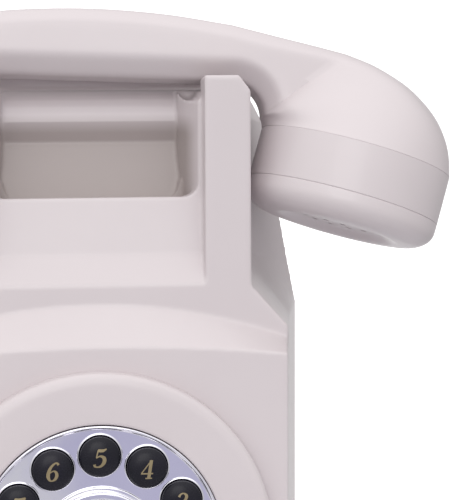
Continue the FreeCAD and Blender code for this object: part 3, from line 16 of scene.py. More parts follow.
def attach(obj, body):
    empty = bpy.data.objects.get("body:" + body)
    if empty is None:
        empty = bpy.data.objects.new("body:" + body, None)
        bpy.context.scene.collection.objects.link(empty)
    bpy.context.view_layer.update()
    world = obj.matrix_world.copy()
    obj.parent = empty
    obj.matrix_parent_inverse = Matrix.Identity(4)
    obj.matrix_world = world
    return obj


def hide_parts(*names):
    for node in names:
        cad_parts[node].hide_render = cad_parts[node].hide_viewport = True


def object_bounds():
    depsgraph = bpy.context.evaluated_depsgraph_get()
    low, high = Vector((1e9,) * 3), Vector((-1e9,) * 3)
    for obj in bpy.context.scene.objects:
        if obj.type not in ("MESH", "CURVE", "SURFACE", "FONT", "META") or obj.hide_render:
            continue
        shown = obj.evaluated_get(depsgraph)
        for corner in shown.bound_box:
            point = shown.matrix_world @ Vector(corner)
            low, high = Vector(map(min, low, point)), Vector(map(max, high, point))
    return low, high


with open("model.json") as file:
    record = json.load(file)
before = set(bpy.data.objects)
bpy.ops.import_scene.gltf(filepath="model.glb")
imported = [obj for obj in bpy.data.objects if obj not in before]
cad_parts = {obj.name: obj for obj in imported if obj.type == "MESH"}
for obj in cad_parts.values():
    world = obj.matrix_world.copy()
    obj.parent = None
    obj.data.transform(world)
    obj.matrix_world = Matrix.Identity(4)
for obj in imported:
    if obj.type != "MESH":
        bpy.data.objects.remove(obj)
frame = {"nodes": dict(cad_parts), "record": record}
cad_low, cad_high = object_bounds()

MM = 0.001

# The handset, in its own frame: U along the handle, V towards the wall, W up
HANDSET_DEPTH = 42.5
HANDSET_HEIGHT = 146.6
HANDSET_ROLL = 2.0  # degrees
HANDSET_LEAN = 9.0  # degrees
HANDLE_HALF_DEPTH = 13.0
HANDLE_STRAIGHT = 46.4  # where the neck curve starts, from the middle
HANDLE_TOP = [(-24, 21.3), (0, 22.4), (24, 21.3)]  # the top line in U and W, near the middle
NECK_ROUND = 11.0
TOP_BEVEL = 4.6
LOWER_BEVEL = 6.0
BEVEL_SHARPNESS = 22
EAR_OFFSET = 89.2
EAR_DROP = 22.6
EAR_TILT = 14.7  # degrees
EAR_RADIUS = 32.4
SHELL_WALL = 2.4
JACK_OPENING = [(-123.1, -107.3), (-4.6, 4.6), (-22.1, -13.9)]  # along U, V and W
TOP_OUTLINE = [(46.4, 18.4), (54.4, 16.6), (64.0, 14.5), (74.8, 12.2), (84.9, 9.9), (95.2, 6.0),
               (105.4, 0.2), (112.0, -5.8), (116.6, -12.0), (119.5, -19.0), (120.5, -25.0),
               (120.54, -30.8)]  # from the end of the straight top line to the seam, in U and W
DOME_TOP = 4  # the outline point where the handle ends and the ear's dome begins
DOME_WIDENING = 0.85  # under 1, the dome widens early
DOME_ROUNDING = 0.8  # under 1, the dome turns from a bevelled bar into an ellipse early

# How finely the handset's skin is divided
SECTION_POINTS = 144
TOP_LINE_POINTS = 60
HANDLE_SECTIONS = 12
NECK_SECTIONS = 14
DOME_SECTIONS = 34
SPLINE_STEPS = 24  # between two given points

# Turned profiles are lists of (radius, height, rounding).  The collar and cap stand on the ear's seam.
EAR_STEPS = 160
SEAM_ROUND = 0.35  # rounds the edges just enough to show the seams
COLLAR_BORE = 29.8
COLLAR_HEIGHT = 16.4
COLLAR_PROFILE = [(COLLAR_BORE, 0, 0), (EAR_RADIUS, 0, SEAM_ROUND),
                  (EAR_RADIUS, COLLAR_HEIGHT, SEAM_ROUND), (COLLAR_BORE, COLLAR_HEIGHT, 0),
                  (COLLAR_BORE, 0, 0)]
CAP_PROFILE = [(0, 4.4, 0), (15.5, 4.4, 1), (20.4, 7.0, 1), (27.5, 4.6, 2), (29.4, 2.6, 2), (29.8, 0, 0),
               (32.4, 0, SEAM_ROUND), (32.3, 5.2, 2.6), (27.8, 8.9, 3.0), (20.4, 9.6, 2.0), (15.5, 7.0, 1.5),
               (0, 7.0, 0)]  # above the collar
SOUND_HOLE_RADIUS = 1.1
SOUND_HOLE_REACH = 14.0  # more than the cap's thickness
SOUND_HOLE_RINGS = {  # (radius, count) of each ring of holes
    "earpiece": [(6.0, 6), (12.0, 12)],
    "mouthpiece": [(6.0, 8), (12.0, 16)],
}

# The dial, with depths counted outwards from the wall
BEZEL_PROFILE = [(39.3, 77.0, 0), (40.8, 77.0, 0.2), (40.8, 80.0, 0), (55.5, 80.0, 0.2),
                 (55.5, 84.3, 0.6), (54.5, 85.4, 0.6), (52.5, 85.9, 1.2), (44.0, 86.0, 2.0),
                 (39.9, 86.0, 0.5), (39.3, 85.6, 0.3), (39.3, 77.0, 0)]
DIAL_STEPS = 192
PLATE_RADIUS = 38.9
PLATE_DEPTH = 86.0
PLATE_SHEET = 1.2
PLATE_CROWN = 0.9
PLATE_EDGE = PLATE_RADIUS + 0.2
PLATE_ROLL = [(0, 0.35, 0.3), (0.4, 0.6, 0.3), (0.9, 0.35, 0.3)]  # (in from the edge, in front, rounding)
PLATE_ROLL_WIDTH = 1.2
PLATE_ROLL_FOOT = 0.2  # rounding where the roll meets the crowned middle
CROWN_RADII = (34, 31, 28, 25, 22, 19, 15, 10, 5, 0)
RING_STEPS = 128
RING_PROFILE = [(16.0, 0, 0), (20.0, 0, 0), (20.0, 1.3, 0.2), (19.7, 1.6, 0.2), (18.7, 1.7, 0.2),
                (18.4, 3.1, 0.2), (18.0, 3.35, 0.2), (16.5, 3.4, 0.3), (16.0, 3.0, 0.3),
                (16.0, 0, 0)]  # in front of the plate

# The buttons and the holes they stand in
BUTTONS = ["5", "4", "3", "2", "1", "hash", "star", "0", "9", "8", "7", "6"]  # clockwise from the top
BUTTON_STEPS = 64
BUTTON_CIRCLE = 29.6
BUTTON_RADIUS = 6.35
BUTTON_HOLE = 6.6
BUTTON_TOP = 90.0
BUTTON_SHOULDER = 88.2
BUTTON_FLANGE = 7.2
BUTTON_FLANGE_HEIGHT = 1.2
BUTTON_BACK = 76.4
DOME_SHARES = (1.0, 0.985, 0.95, 0.9, 0.82, 0.72, 0.6, 0.45, 0.3, 0.15, 0.0)  # of the button's radius
DOME_FLATNESS = 2.6  # higher is flatter in the middle
DOME_SHOULDER = 0.7  # lower is steeper at the side
# The rolled rim of a hole: (out from the hole, in front of the plate, rounding)
HOLE_RIM = [(0, 0.15, 0.15), (0.25, 0.32, 0.2), (0.55, 0.1, 0.2), (0.7, -0.1, 0.05)]
HOLE_RIM_FOOT = 0.2
HOLE_MARGIN = 0.1  # how much wider the plate is cut than the rim's bore
HOLE_STEPS = 48
HOLE_EDGE_ANGLE = 30  # degrees

# The camera: a long lens a little left of the dial and above it
CAMERA_PLACE = (-28.6, -686.4, 160.3)
CAMERA_TURN = 6.55  # degrees to the right
CAMERA_DROP = 6.26  # degrees downwards
CAMERA_ROLL = 0.2  # degrees
CAMERA_LENS = 139.8

# The light in front, in metres
LIGHT_PLACE = (-0.25, -2.0, 0.75)
LIGHT_TARGET = (0, 0, 0.08)
LIGHT_SIDE = 1.2
LIGHT_POWER = 8.0
LIGHT_COLOUR = (1.0, 0.99, 0.975)

# Soft patches of light in the surround: direction, strength, tightness
SURROUND = [
    ((0, 1, -0.1), 1.4, 14.0),
    ((0, -1, 0), 0.36, 2.0),
    ((-0.1, -0.25, 1), 1.40, 2.0),
    ((-1, -0.3, 0.2), 0.26, 2.0),
    ((1, -0.3, 0.2), 0.28, 2.0),
]
SURROUND_BASE = 0.30

# A lavender-grey card for the chrome to mirror: the ranges of direction over which it fades in or out
CARD_COLOUR = (0.50, 0.49, 0.63)
CARD_LEFT = (0.18, 0.30)
CARD_RIGHT = (0.47, 0.56)
CARD_FRONT = (-0.8, -0.6)
CARD_TOP = (0.08, 0.16)
CARD_WAVE = 0.5

# The floor, in metres
FLOOR_RADIUS = 0.25
FLOOR_GAP = 0.0005
FLOOR_STEPS = 96
FLOOR_TONES = ((0.66, 0.65, 0.68), (0.70, 0.69, 0.72))

# Painted shade in the finger recess: its darker tone, and where it fades out at the sides, front, top and
# foot, in metres
RECESS_SHADE_TONE = (0.385, 0.335, 0.325)
RECESS_SIDE = (0.0325, 0.0355)
RECESS_FRONT = (-0.0600, -0.0500)
RECESS_TOP = (0.1290, 0.1350)
RECESS_FOOT = (0.1000, 0.1060)


# ---------------------------------------------------------------- mesh helpers


def smooth_shading(obj, angle=None):
    """Smooth shading, with edges sharper than an angle kept crisp."""
    mesh = obj.data
    mesh.polygons.foreach_set("use_smooth", [True] * len(mesh.polygons))
    if angle is not None:
        mesh.set_sharp_from_angle(angle=math.radians(angle))


def mesh_object(name, points, faces, angle=40):
    """An object from points in metres and lists of corners, with its faces turned outwards."""
    mesh = bpy.data.meshes.new(name)
    mesh.from_pydata([tuple(p) for p in points], [], faces)
    work = bmesh.new()
    work.from_mesh(mesh)
    bmesh.ops.remove_doubles(work, verts=work.verts, dist=1e-7)
    bmesh.ops.recalc_face_normals(work, faces=work.faces)
    work.to_mesh(mesh)
    work.free()
    obj = bpy.data.objects.new(name, mesh)
    bpy.context.scene.collection.objects.link(obj)
    smooth_shading(obj, angle)
    return obj


def apply_modifiers(obj):
    """Replace the mesh by what its modifiers make of it."""
    graph = bpy.context.evaluated_depsgraph_get()
    made = bpy.data.meshes.new_from_object(obj.evaluated_get(graph))
    obj.modifiers.clear()
    obj.data = made


def circle(radius, count, middle=(0, 0)):
    """Evenly spaced (x, y) points round a circle."""
    points = []
    for step in range(count):
        turn = 2 * math.pi * step / count
        points.append((middle[0] + radius * math.cos(turn), middle[1] + radius * math.sin(turn)))
    return points


def grid_faces(rings, count):
    """Quads between successive rings of points."""
    faces = []
    for ring in range(rings - 1):
        this, after = ring * count, (ring + 1) * count
        for k in range(count):
            n = (k + 1) % count
            faces.append((this + k, this + n, after + n, after + k))
    return faces


def round_corners(corners, steps=5):
    """The points of a turned profile, each corner rounded by its own amount."""
    points = []
    for index, (x, y, rounding) in enumerate(corners):
        here = Vector((x, y))
        if rounding <= 0 or index in (0, len(corners) - 1):
            points.append(here)
            continue
        before = Vector(corners[index - 1][:2]) - here
        after = Vector(corners[index + 1][:2]) - here
        start = here + before.normalized() * min(rounding, before.length / 2)
        end = here + after.normalized() * min(rounding, after.length / 2)
        for step in range(steps + 1):
            t = step / steps
            points.append(start * (1 - t) ** 2 + here * 2 * t * (1 - t) + end * t ** 2)
    return points


def lathe(name, corners, place, steps, angle=35):
    """A turned piece: a profile swept round the place's own Z."""
    profile = round_corners(corners)
    points = []
    for level in profile:
        for x, y in circle(level.x, steps):
            points.append(place @ (Vector((x, y, level.y)) * MM))
    return mesh_object(name, points, grid_faces(len(profile), steps), angle)


def moved_up(corners, height):
    """A turned profile moved along its axis."""
    return [(radius, height + level, rounding) for radius, level, rounding in corners]


def outward(x, z):
    """A place on the dial whose own Z points away from the wall."""
    return Matrix.Translation(Vector((x, 0, z)) * MM) @ Matrix.Rotation(math.pi / 2, 4, "X")


def moulded(name, node, body, slot, voxel, passes, keep):
    """A CAD node with its sharp moulding edges rounded: remeshed, relaxed and thinned out."""
    obj = bpy.data.objects.new(name, frame["nodes"][node].data.copy())
    bpy.context.scene.collection.objects.link(obj)
    obj.data.materials.clear()
    remesh = obj.modifiers.new("Remesh", "REMESH")
    remesh.mode = "VOXEL"
    remesh.voxel_size = voxel * MM * 1.0
    relax = obj.modifiers.new("Relax", "SMOOTH")
    relax.factor = 0.5
    relax.iterations = passes
    thin = obj.modifiers.new("Thin", "DECIMATE")
    thin.ratio = keep
    apply_modifiers(obj)
    smooth_shading(obj)
    finish_piece(obj, body, slot, node)


def subtract(obj, cutter):
    """Cut one mesh out of another and remove the cutter."""
    modifier = obj.modifiers.new("Cut", "BOOLEAN")
    modifier.object = cutter
    modifier.solver = "EXACT"
    apply_modifiers(obj)
    bpy.data.objects.remove(cutter)


def cut_holes(obj, centres, radius, low, high, place):
    """Cut round holes through a piece along its place's own Z, all at once."""
    points, faces = [], []
    for centre in centres:
        start = len(points)
        for level in (low, high):
            points += [place @ (Vector((x, y, level)) * MM) for x, y in circle(radius, HOLE_STEPS, centre)]
        faces += [tuple(start + k for k in face) for face in grid_faces(2, HOLE_STEPS)]
        faces.append(tuple(range(start, start + HOLE_STEPS)))
        faces.append(tuple(range(start + HOLE_STEPS, start + 2 * HOLE_STEPS)))
    subtract(obj, mesh_object("cutter", points, faces))
    smooth_shading(obj, HOLE_EDGE_ANGLE)


def finish_piece(obj, body, slot, *nodes):
    """Set the material and the body of a piece, and the CAD nodes it replaces."""
    obj.data.materials.clear()
    obj.data.materials.append(MATERIALS[slot])
    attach(obj, body)
    if nodes:
        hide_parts(*nodes)


# ---------------------------------------------------------------- materials


# Two close tones, the range of roughness, the fineness of the grain and its relief in millimetres
IVORY = dict(
    tones=((0.612, 0.553, 0.566), (0.628, 0.570, 0.582)), rough=(0.35, 0.42), grain=260, relief=0.0012)
PLAIN_SURFACES = {
    "ivory_case": dict(IVORY, coat=0.16),
    "ivory_handset": dict(IVORY, coat=0.18),
    "grey_plastic": dict(
        tones=((0.30, 0.30, 0.31), (0.36, 0.36, 0.37)), rough=(0.5, 0.68), grain=1800, relief=0.02),
    "black_plastic": dict(
        tones=((0.02, 0.02, 0.022), (0.035, 0.035, 0.037)), rough=(0.38, 0.55), grain=1600, relief=0.01),
    "white_plastic": dict(
        tones=((0.74, 0.73, 0.71), (0.80, 0.79, 0.77)), rough=(0.35, 0.5), grain=1200, relief=0.006),
    "button_plastic": dict(
        tones=((0.008, 0.008, 0.013), (0.013, 0.012, 0.019)), rough=(0.22, 0.32), grain=1500, relief=0.001,
        ior=1.30),
    "dial_chrome": dict(
        tones=((0.80, 0.79, 0.86), (0.86, 0.85, 0.91)), rough=(0.05, 0.11), grain=400, relief=0.004,
        metallic=1.0),
    "label_card": dict(
        tones=((0.86, 0.85, 0.84), (0.92, 0.91, 0.90)), rough=(0.75, 0.9), grain=2600, relief=0.01),
    "keypad_rubber": dict(
        tones=((0.18, 0.18, 0.20), (0.25, 0.25, 0.27)), rough=(0.6, 0.8), grain=1500, relief=0.01),
    "steel": dict(
        tones=((0.52, 0.53, 0.56), (0.66, 0.66, 0.68)), rough=(0.24, 0.42), grain=900, relief=0.004,
        metallic=1.0, stretch=(1, 1, 0.1)),
    "spring_steel": dict(
        tones=((0.45, 0.45, 0.48), (0.58, 0.58, 0.60)), rough=(0.2, 0.35), grain=2000, relief=0.004,
        metallic=1.0, stretch=(1, 1, 4)),
    "gong_brass": dict(
        tones=((0.66, 0.46, 0.17), (0.78, 0.58, 0.25)), rough=(0.18, 0.32), grain=1100, relief=0.004,
        metallic=1.0, stretch=(1, 0.1, 1)),
    "iron_weight": dict(
        tones=((0.07, 0.07, 0.072), (0.13, 0.12, 0.12)), rough=(0.55, 0.8), grain=700, relief=0.06,
        metallic=0.6),
    "numeral_gold": dict(
        tones=((0.24, 0.19, 0.105), (0.30, 0.24, 0.14)), rough=(0.4, 0.55), grain=2500, relief=0.002,
        metallic=0.35),
}
PATCH_SCALE = 0.08  # the fineness of the patches of tone, as a share of the grain's
COAT_ROUGHNESS = 0.08


def new_material(name):
    """A new material, with its nodes, its links, its shader and the point being shaded, in object space."""
    material = bpy.data.materials.new(name)
    material.use_nodes = True
    nodes, links = material.node_tree.nodes, material.node_tree.links
    shader = nodes["Principled BSDF"]
    place = nodes.new("ShaderNodeTexCoord").outputs["Object"]
    return material, nodes, links, shader, place


def noise(nodes, links, place, scale, detail=3.0, stretch=(1, 1, 1)):
    """A noise texture, stretched along the axes."""
    mapping = nodes.new("ShaderNodeMapping")
    mapping.inputs["Scale"].default_value = stretch
    links.new(place, mapping.inputs["Vector"])
    texture = nodes.new("ShaderNodeTexNoise")
    texture.inputs["Scale"].default_value = scale
    texture.inputs["Detail"].default_value = detail
    links.new(mapping.outputs["Vector"], texture.inputs["Vector"])
    return texture.outputs["Fac"]


def spread(nodes, links, value, low, high, start=0.3, end=0.7):
    """A value that goes from low to high, as the given one goes from start to end."""
    ramp = nodes.new("ShaderNodeMapRange")
    ramp.inputs["From Min"].default_value = start
    ramp.inputs["From Max"].default_value = end
    ramp.inputs["To Min"].default_value = low
    ramp.inputs["To Max"].default_value = high
    links.new(value, ramp.inputs["Value"])
    return ramp.outputs["Result"]


def math_node(nodes, links, operation, *values):
    """Values put through a maths node, where each is a socket or a number."""
    node = nodes.new("ShaderNodeMath")
    node.operation = operation
    for socket, value in zip(node.inputs, values):
        if isinstance(value, float):
            socket.default_value = value
        else:
            links.new(value, socket)
    return node.outputs[0]


def mixed(nodes, links, factor, first, second):
    """A mix of two colours, where the first is a colour or a socket."""
    mix = nodes.new("ShaderNodeMix")
    mix.data_type = "RGBA"
    links.new(factor, mix.inputs["Factor"])
    if isinstance(first, tuple):
        mix.inputs["A"].default_value = (*first, 1)
    else:
        links.new(first, mix.inputs["A"])
    mix.inputs["B"].default_value = (*second, 1)
    return mix.outputs["Result"]


def add_bump(nodes, links, shader, value, distance):
    """Relief from a texture value, with its height in millimetres."""
    bump = nodes.new("ShaderNodeBump")
    bump.inputs["Distance"].default_value = distance * MM
    bump.inputs["Strength"].default_value = 1.0
    links.new(value, bump.inputs["Height"])
    links.new(bump.outputs["Normal"], shader.inputs["Normal"])


def plain_surface(name, tones, rough, grain, relief, metallic=0.0, coat=0.0, stretch=(1, 1, 1), ior=1.46):
    """A material with two close tones, uneven gloss and fine relief, as mouldings show."""
    material, nodes, links, shader, place = new_material(name)
    patches = noise(nodes, links, place, grain * PATCH_SCALE, 4.0, stretch)
    fine = noise(nodes, links, place, grain, 3.0, stretch)
    links.new(mixed(nodes, links, spread(nodes, links, patches, 0, 1), *tones), shader.inputs["Base Color"])
    links.new(spread(nodes, links, fine, *rough), shader.inputs["Roughness"])
    add_bump(nodes, links, shader, fine, relief)
    shader.inputs["Metallic"].default_value = metallic
    shader.inputs["IOR"].default_value = ior
    shader.inputs["Coat Weight"].default_value = coat
    shader.inputs["Coat Roughness"].default_value = COAT_ROUGHNESS
    return material


def clear_material():
    """Clear plastic over the centre label."""
    material, nodes, links, shader, place = new_material("clear_plastic")
    fine = noise(nodes, links, place, 900)
    links.new(spread(nodes, links, fine, 0.02, 0.07), shader.inputs["Roughness"])
    shader.inputs["Base Color"].default_value = (0.97, 0.97, 0.99, 1)
    shader.inputs["Transmission Weight"].default_value = 1.0
    shader.inputs["IOR"].default_value = 1.46
    return material


def board_material():
    """Green solder mask, with fine lighter lines that stand for the tracks under it."""
    material, nodes, links, shader, place = new_material("circuit_board")
    brick = nodes.new("ShaderNodeTexBrick")
    brick.inputs["Scale"].default_value = 260
    brick.inputs["Mortar Size"].default_value = 0.035
    brick.inputs["Color1"].default_value = (0.02, 0.15, 0.05, 1)
    brick.inputs["Color2"].default_value = (0.03, 0.19, 0.07, 1)
    brick.inputs["Mortar"].default_value = (0.10, 0.30, 0.12, 1)
    links.new(place, brick.inputs["Vector"])
    links.new(brick.outputs["Color"], shader.inputs["Base Color"])
    fine = noise(nodes, links, place, 1200)
    links.new(spread(nodes, links, fine, 0.25, 0.4), shader.inputs["Roughness"])
    add_bump(nodes, links, shader, brick.outputs["Fac"], 0.03)
    return material


def winding_material():
    """Enamelled copper wire, wound in even turns."""
    material, nodes, links, shader, place = new_material("copper_wire")
    wave = nodes.new("ShaderNodeTexWave")
    wave.bands_direction = "Z"
    wave.inputs["Scale"].default_value = 900
    wave.inputs["Distortion"].default_value = 0.6
    links.new(place, wave.inputs["Vector"])
    turns = wave.outputs["Fac"]
    tone = mixed(nodes, links, turns, (0.30, 0.09, 0.03), (0.72, 0.30, 0.13))
    links.new(tone, shader.inputs["Base Color"])
    links.new(spread(nodes, links, turns, 0.25, 0.45, 0, 1), shader.inputs["Roughness"])
    add_bump(nodes, links, shader, turns, 0.12)
    shader.inputs["Metallic"].default_value = 0.8
    return material


def paint_recess_shade(material):
    """Paint the ivory darker inside the finger recess.

    The paint stands in for shade, which this light leaves too weak there.
    """
    nodes, links = material.node_tree.nodes, material.node_tree.links
    shader = nodes["Principled BSDF"]
    parts = nodes.new("ShaderNodeSeparateXYZ")
    links.new(nodes.new("ShaderNodeTexCoord").outputs["Object"], parts.inputs[0])
    across = math_node(nodes, links, "ABSOLUTE", parts.outputs["X"])
    inside = spread(nodes, links, across, 1.0, 0.0, *RECESS_SIDE)
    for edge in (spread(nodes, links, parts.outputs["Y"], 0.0, 1.0, *RECESS_FRONT),
                 spread(nodes, links, parts.outputs["Z"], 1.0, 0.0, *RECESS_TOP),
                 spread(nodes, links, parts.outputs["Z"], 0.0, 1.0, *RECESS_FOOT)):
        inside = math_node(nodes, links, "MULTIPLY", inside, edge)
    # painted shade: inside the recess mask the ivory is mixed towards the darker recess tone
    ivory = shader.inputs["Base Color"].links[0].from_socket
    links.new(mixed(nodes, links, inside, ivory, RECESS_SHADE_TONE), shader.inputs["Base Color"])


def make_materials():
    """One material for each of the record's material slots, and one for the numerals."""
    made = {name: plain_surface(name, **values) for name, values in PLAIN_SURFACES.items()}
    # painted shade in the case's finger recess
    paint_recess_shade(made["ivory_case"])
    made["clear_plastic"] = clear_material()
    made["circuit_board"] = board_material()
    made["copper_wire"] = winding_material()
    return made


MATERIALS = make_materials()


# ---------------------------------------------------------------- the case


def build_case():
    """The case moulding and its back plate."""
    moulded("case_visual", "case_shell", "base", "ivory_case", voxel=0.6, passes=4, keep=0.25)
    moulded("back_plate_visual", "back_plate", "base", "grey_plastic", voxel=0.8, passes=2, keep=0.2)


# ---------------------------------------------------------------- the handset


def handset_place():
    """Where the handset lies: rolled a little, with its caps leaning away from the wall."""
    move = Matrix.Translation(Vector((0, -HANDSET_DEPTH, HANDSET_HEIGHT)) * MM)
    roll = Matrix.Rotation(math.radians(HANDSET_ROLL), 4, "Y")
    lean = Matrix.Rotation(math.radians(-HANDSET_LEAN), 4, "X")
    return move @ roll @ lean


def spline(points, count):
    """Evenly spaced points along a smooth curve through the given ones."""
    points = [np.array(p, float) for p in points]
    padded = [2 * points[0] - points[1]] + points + [2 * points[-1] - points[-2]]
    dense = []
    for k in range(1, len(padded) - 2):
        a, b, c, d = padded[k - 1:k + 3]
        for t in np.linspace(0, 1, SPLINE_STEPS, endpoint=False):
            dense.append(0.5 * (2 * b + (c - a) * t + (2 * a - 5 * b + 4 * c - d) * t ** 2
                                + (3 * b - a - 3 * c + d) * t ** 3))
    dense = np.array(dense + [points[-1]])
    along = np.concatenate([[0], np.cumsum(np.linalg.norm(np.diff(dense, axis=0), axis=1))])
    wanted = np.linspace(0, along[-1], count)
    return np.stack([np.interp(wanted, along, dense[:, axis]) for axis in range(dense.shape[1])], axis=1)


def bevelled_radius(turn, half_length, half_width):
    """How far a bevelled rectangle's edge is in a direction, where 1 is an ellipse touching its sides."""
    c, s = abs(math.cos(turn)), abs(math.sin(turn))
    cut = TOP_BEVEL if math.cos(turn) > 0 else LOWER_BEVEL
    reach = half_length / cut + half_width / cut - 1
    slant = (half_length * c / cut + half_width * s / cut) / reach
    total = c ** BEVEL_SHARPNESS + s ** BEVEL_SHARPNESS + slant ** BEVEL_SHARPNESS
    return total ** (-1 / BEVEL_SHARPNESS)


def handset_section(inner, outer, half_width, roundness):
    """A ring of (U, V, W) points: a bevelled bar between two points, turning into an ellipse."""
    inner, outer = Vector(inner), Vector(outer)
    middle, along = (inner + outer) / 2, (outer - inner) / 2
    ring = []
    for k in range(SECTION_POINTS):
        turn = 2 * math.pi * k / SECTION_POINTS
        bar = bevelled_radius(turn, along.length, half_width)
        reach = bar + (1 - bar) * roundness
        point = middle + along * (reach * math.cos(turn))
        ring.append((point.x, half_width * reach * math.sin(turn), point.y))
    return ring


def handle_sections():
    """The straight stretch, from the middle of the handle to the neck."""
    top = spline(HANDLE_TOP + TOP_OUTLINE[:1], TOP_LINE_POINTS)
    rings = []
    for u in np.linspace(0, HANDLE_STRAIGHT, HANDLE_SECTIONS, endpoint=False):
        w = float(np.interp(u, top[:, 0], top[:, 1]))
        rings.append(handset_section((u, 0), (u, w), HANDLE_HALF_DEPTH, 0))
    return rings


def neck_sections():
    """The bend from the handle down to the ear."""
    outer = spline(TOP_OUTLINE[:DOME_TOP + 1], NECK_SECTIONS)
    rings = []
    for step, point in enumerate(outer[:-1]):
        turn = math.pi / 2 * step / (NECK_SECTIONS - 1)
        inner = (HANDLE_STRAIGHT + NECK_ROUND * math.sin(turn), -NECK_ROUND * (1 - math.cos(turn)))
        rings.append(handset_section(inner, point, HANDLE_HALF_DEPTH, 0))
    return rings


def dome_sections():
    """The ear's dome, from the neck to the round seam with its collar."""
    tilt = math.radians(EAR_TILT)
    start = Vector((HANDLE_STRAIGHT + NECK_ROUND, -NECK_ROUND))
    end = Vector((EAR_OFFSET, -EAR_DROP)) - Vector((math.cos(tilt), -math.sin(tilt))) * EAR_RADIUS
    rings = []
    for step, point in enumerate(spline(TOP_OUTLINE[DOME_TOP:], DOME_SECTIONS)):
        share = step / (DOME_SECTIONS - 1)
        width = HANDLE_HALF_DEPTH + (EAR_RADIUS - HANDLE_HALF_DEPTH) * share ** DOME_WIDENING
        roundness = math.sin(share * math.pi / 2) ** DOME_ROUNDING
        rings.append(handset_section(start.lerp(end, share), point, width, roundness))
    return rings


def cut_jack_opening(obj):
    """Cut the opening for the cord jack in the mouthpiece end."""
    across, depth, up = JACK_OPENING
    corners = [(u, v, w) for u in across for v in depth for w in up]
    faces = [(0, 1, 3, 2), (4, 6, 7, 5), (0, 4, 5, 1), (2, 3, 7, 6), (0, 2, 6, 4), (1, 5, 7, 3)]
    place = handset_place()
    subtract(obj, mesh_object("cutter", [place @ (Vector(corner) * MM) for corner in corners], faces))


def build_handset_shell():
    """The handle and both ears, as one skin swept from seam to seam and given its wall thickness."""
    right = handle_sections() + neck_sections() + dome_sections()
    left = [[(-u, v, w) for u, v, w in ring] for ring in right]
    rings = left[::-1] + right[1:]
    place = handset_place()
    points = [place @ (Vector(point) * MM) for ring in rings for point in ring]
    obj = mesh_object("handset_visual", points, grid_faces(len(rings), SECTION_POINTS), None)
    wall = obj.modifiers.new("Wall", "SOLIDIFY")
    wall.thickness = SHELL_WALL * MM
    wall.offset = -1
    apply_modifiers(obj)
    cut_jack_opening(obj)
    smooth_shading(obj, 50)
    finish_piece(obj, "handset", "ivory_handset", "handset_shell")


def ear_place(side):
    """The middle of an ear's seam, with Z out of the cap."""
    move = Matrix.Translation(Vector((side * EAR_OFFSET, 0, -EAR_DROP)) * MM)
    return handset_place() @ move @ Matrix.Rotation(math.radians(180 + side * EAR_TILT), 4, "Y")


def build_ears():
    """Both collars and both caps, with the sound holes cut in the caps."""
    for ear, side in (("earpiece", 1), ("mouthpiece", -1)):
        place = ear_place(side)
        collar = lathe(ear + "_collar_visual", COLLAR_PROFILE, place, EAR_STEPS)
        finish_piece(collar, "handset", "ivory_handset", ear + "_collar")
        cap = lathe(ear + "_cap_visual", moved_up(CAP_PROFILE, COLLAR_HEIGHT), place, EAR_STEPS)
        centres = []
        for radius, count in SOUND_HOLE_RINGS[ear]:
            centres += circle(radius, count)
        cut_holes(cap, centres, SOUND_HOLE_RADIUS, COLLAR_HEIGHT, COLLAR_HEIGHT + SOUND_HOLE_REACH, place)
        finish_piece(cap, "handset", "ivory_handset", ear + "_cap")


# ---------------------------------------------------------------- the dial


def build_bezel():
    """The ivory ring round the dial, with a rounded outer edge."""
    bezel = lathe("dial_bezel_visual", BEZEL_PROFILE, outward(0, 0), DIAL_STEPS)
    finish_piece(bezel, "base", "ivory_case", "dial_bezel")


def button_centres():
    """Where the buttons stand on the dial, clockwise from the top."""
    places = []
    for number in range(len(BUTTONS)):
        angle = math.radians(90 - 360 * number / len(BUTTONS))
        places.append((BUTTON_CIRCLE * math.cos(angle), BUTTON_CIRCLE * math.sin(angle)))
    return places


def crown(radius):
    """How far the face plate is pressed outwards at a distance from its middle."""
    return PLATE_CROWN * (1 - (radius / PLATE_RADIUS) ** 2)


def build_face_plate():
    """The chrome disc, pressed to a slight crown, with a rolled edge and a hole for each button."""
    back, foot = PLATE_DEPTH - PLATE_SHEET, PLATE_EDGE - PLATE_ROLL_WIDTH
    corners = [(0, back, 0), (PLATE_EDGE, back, 0)]
    corners += [(PLATE_EDGE - inset, PLATE_DEPTH + rise, rounding) for inset, rise, rounding in PLATE_ROLL]
    corners.append((foot, PLATE_DEPTH + crown(foot), PLATE_ROLL_FOOT))
    corners += [(radius, PLATE_DEPTH + crown(radius), 0) for radius in CROWN_RADII]
    plate = lathe("dial_face_plate_visual", corners, outward(0, 0), DIAL_STEPS)
    cut_holes(plate, button_centres(), BUTTON_HOLE + HOLE_MARGIN, back - 1, PLATE_DEPTH + 2, outward(0, 0))
    finish_piece(plate, "base", "dial_chrome", "dial_face_plate")


def build_hole_rims():
    """The rolled rim round each hole of the face plate."""
    back, level = PLATE_DEPTH - PLATE_SHEET, PLATE_DEPTH + crown(BUTTON_CIRCLE)
    rim = [(BUTTON_HOLE, back, 0)]
    rim += [(BUTTON_HOLE + out, level + rise, rounding) for out, rise, rounding in HOLE_RIM]
    rim += [(BUTTON_HOLE + HOLE_RIM_FOOT, back, 0), (BUTTON_HOLE, back, 0)]
    for name, (x, z) in zip(BUTTONS, button_centres()):
        ring = lathe("hole_rim_" + name, rim, outward(x, z), BUTTON_STEPS)
        finish_piece(ring, "base", "dial_chrome")


def build_centre_ring():
    """The chrome ring round the blank label."""
    ring = lathe("centre_ring_visual", moved_up(RING_PROFILE, PLATE_DEPTH), outward(0, 0), RING_STEPS)
    finish_piece(ring, "base", "dial_chrome", "centre_ring")


def dome_height(radius):
    """How far a button's front reaches from the wall, at a distance from its middle."""
    share = min(1.0, radius / BUTTON_RADIUS)
    return BUTTON_SHOULDER + (BUTTON_TOP - BUTTON_SHOULDER) * (1 - share ** DOME_FLATNESS) ** DOME_SHOULDER


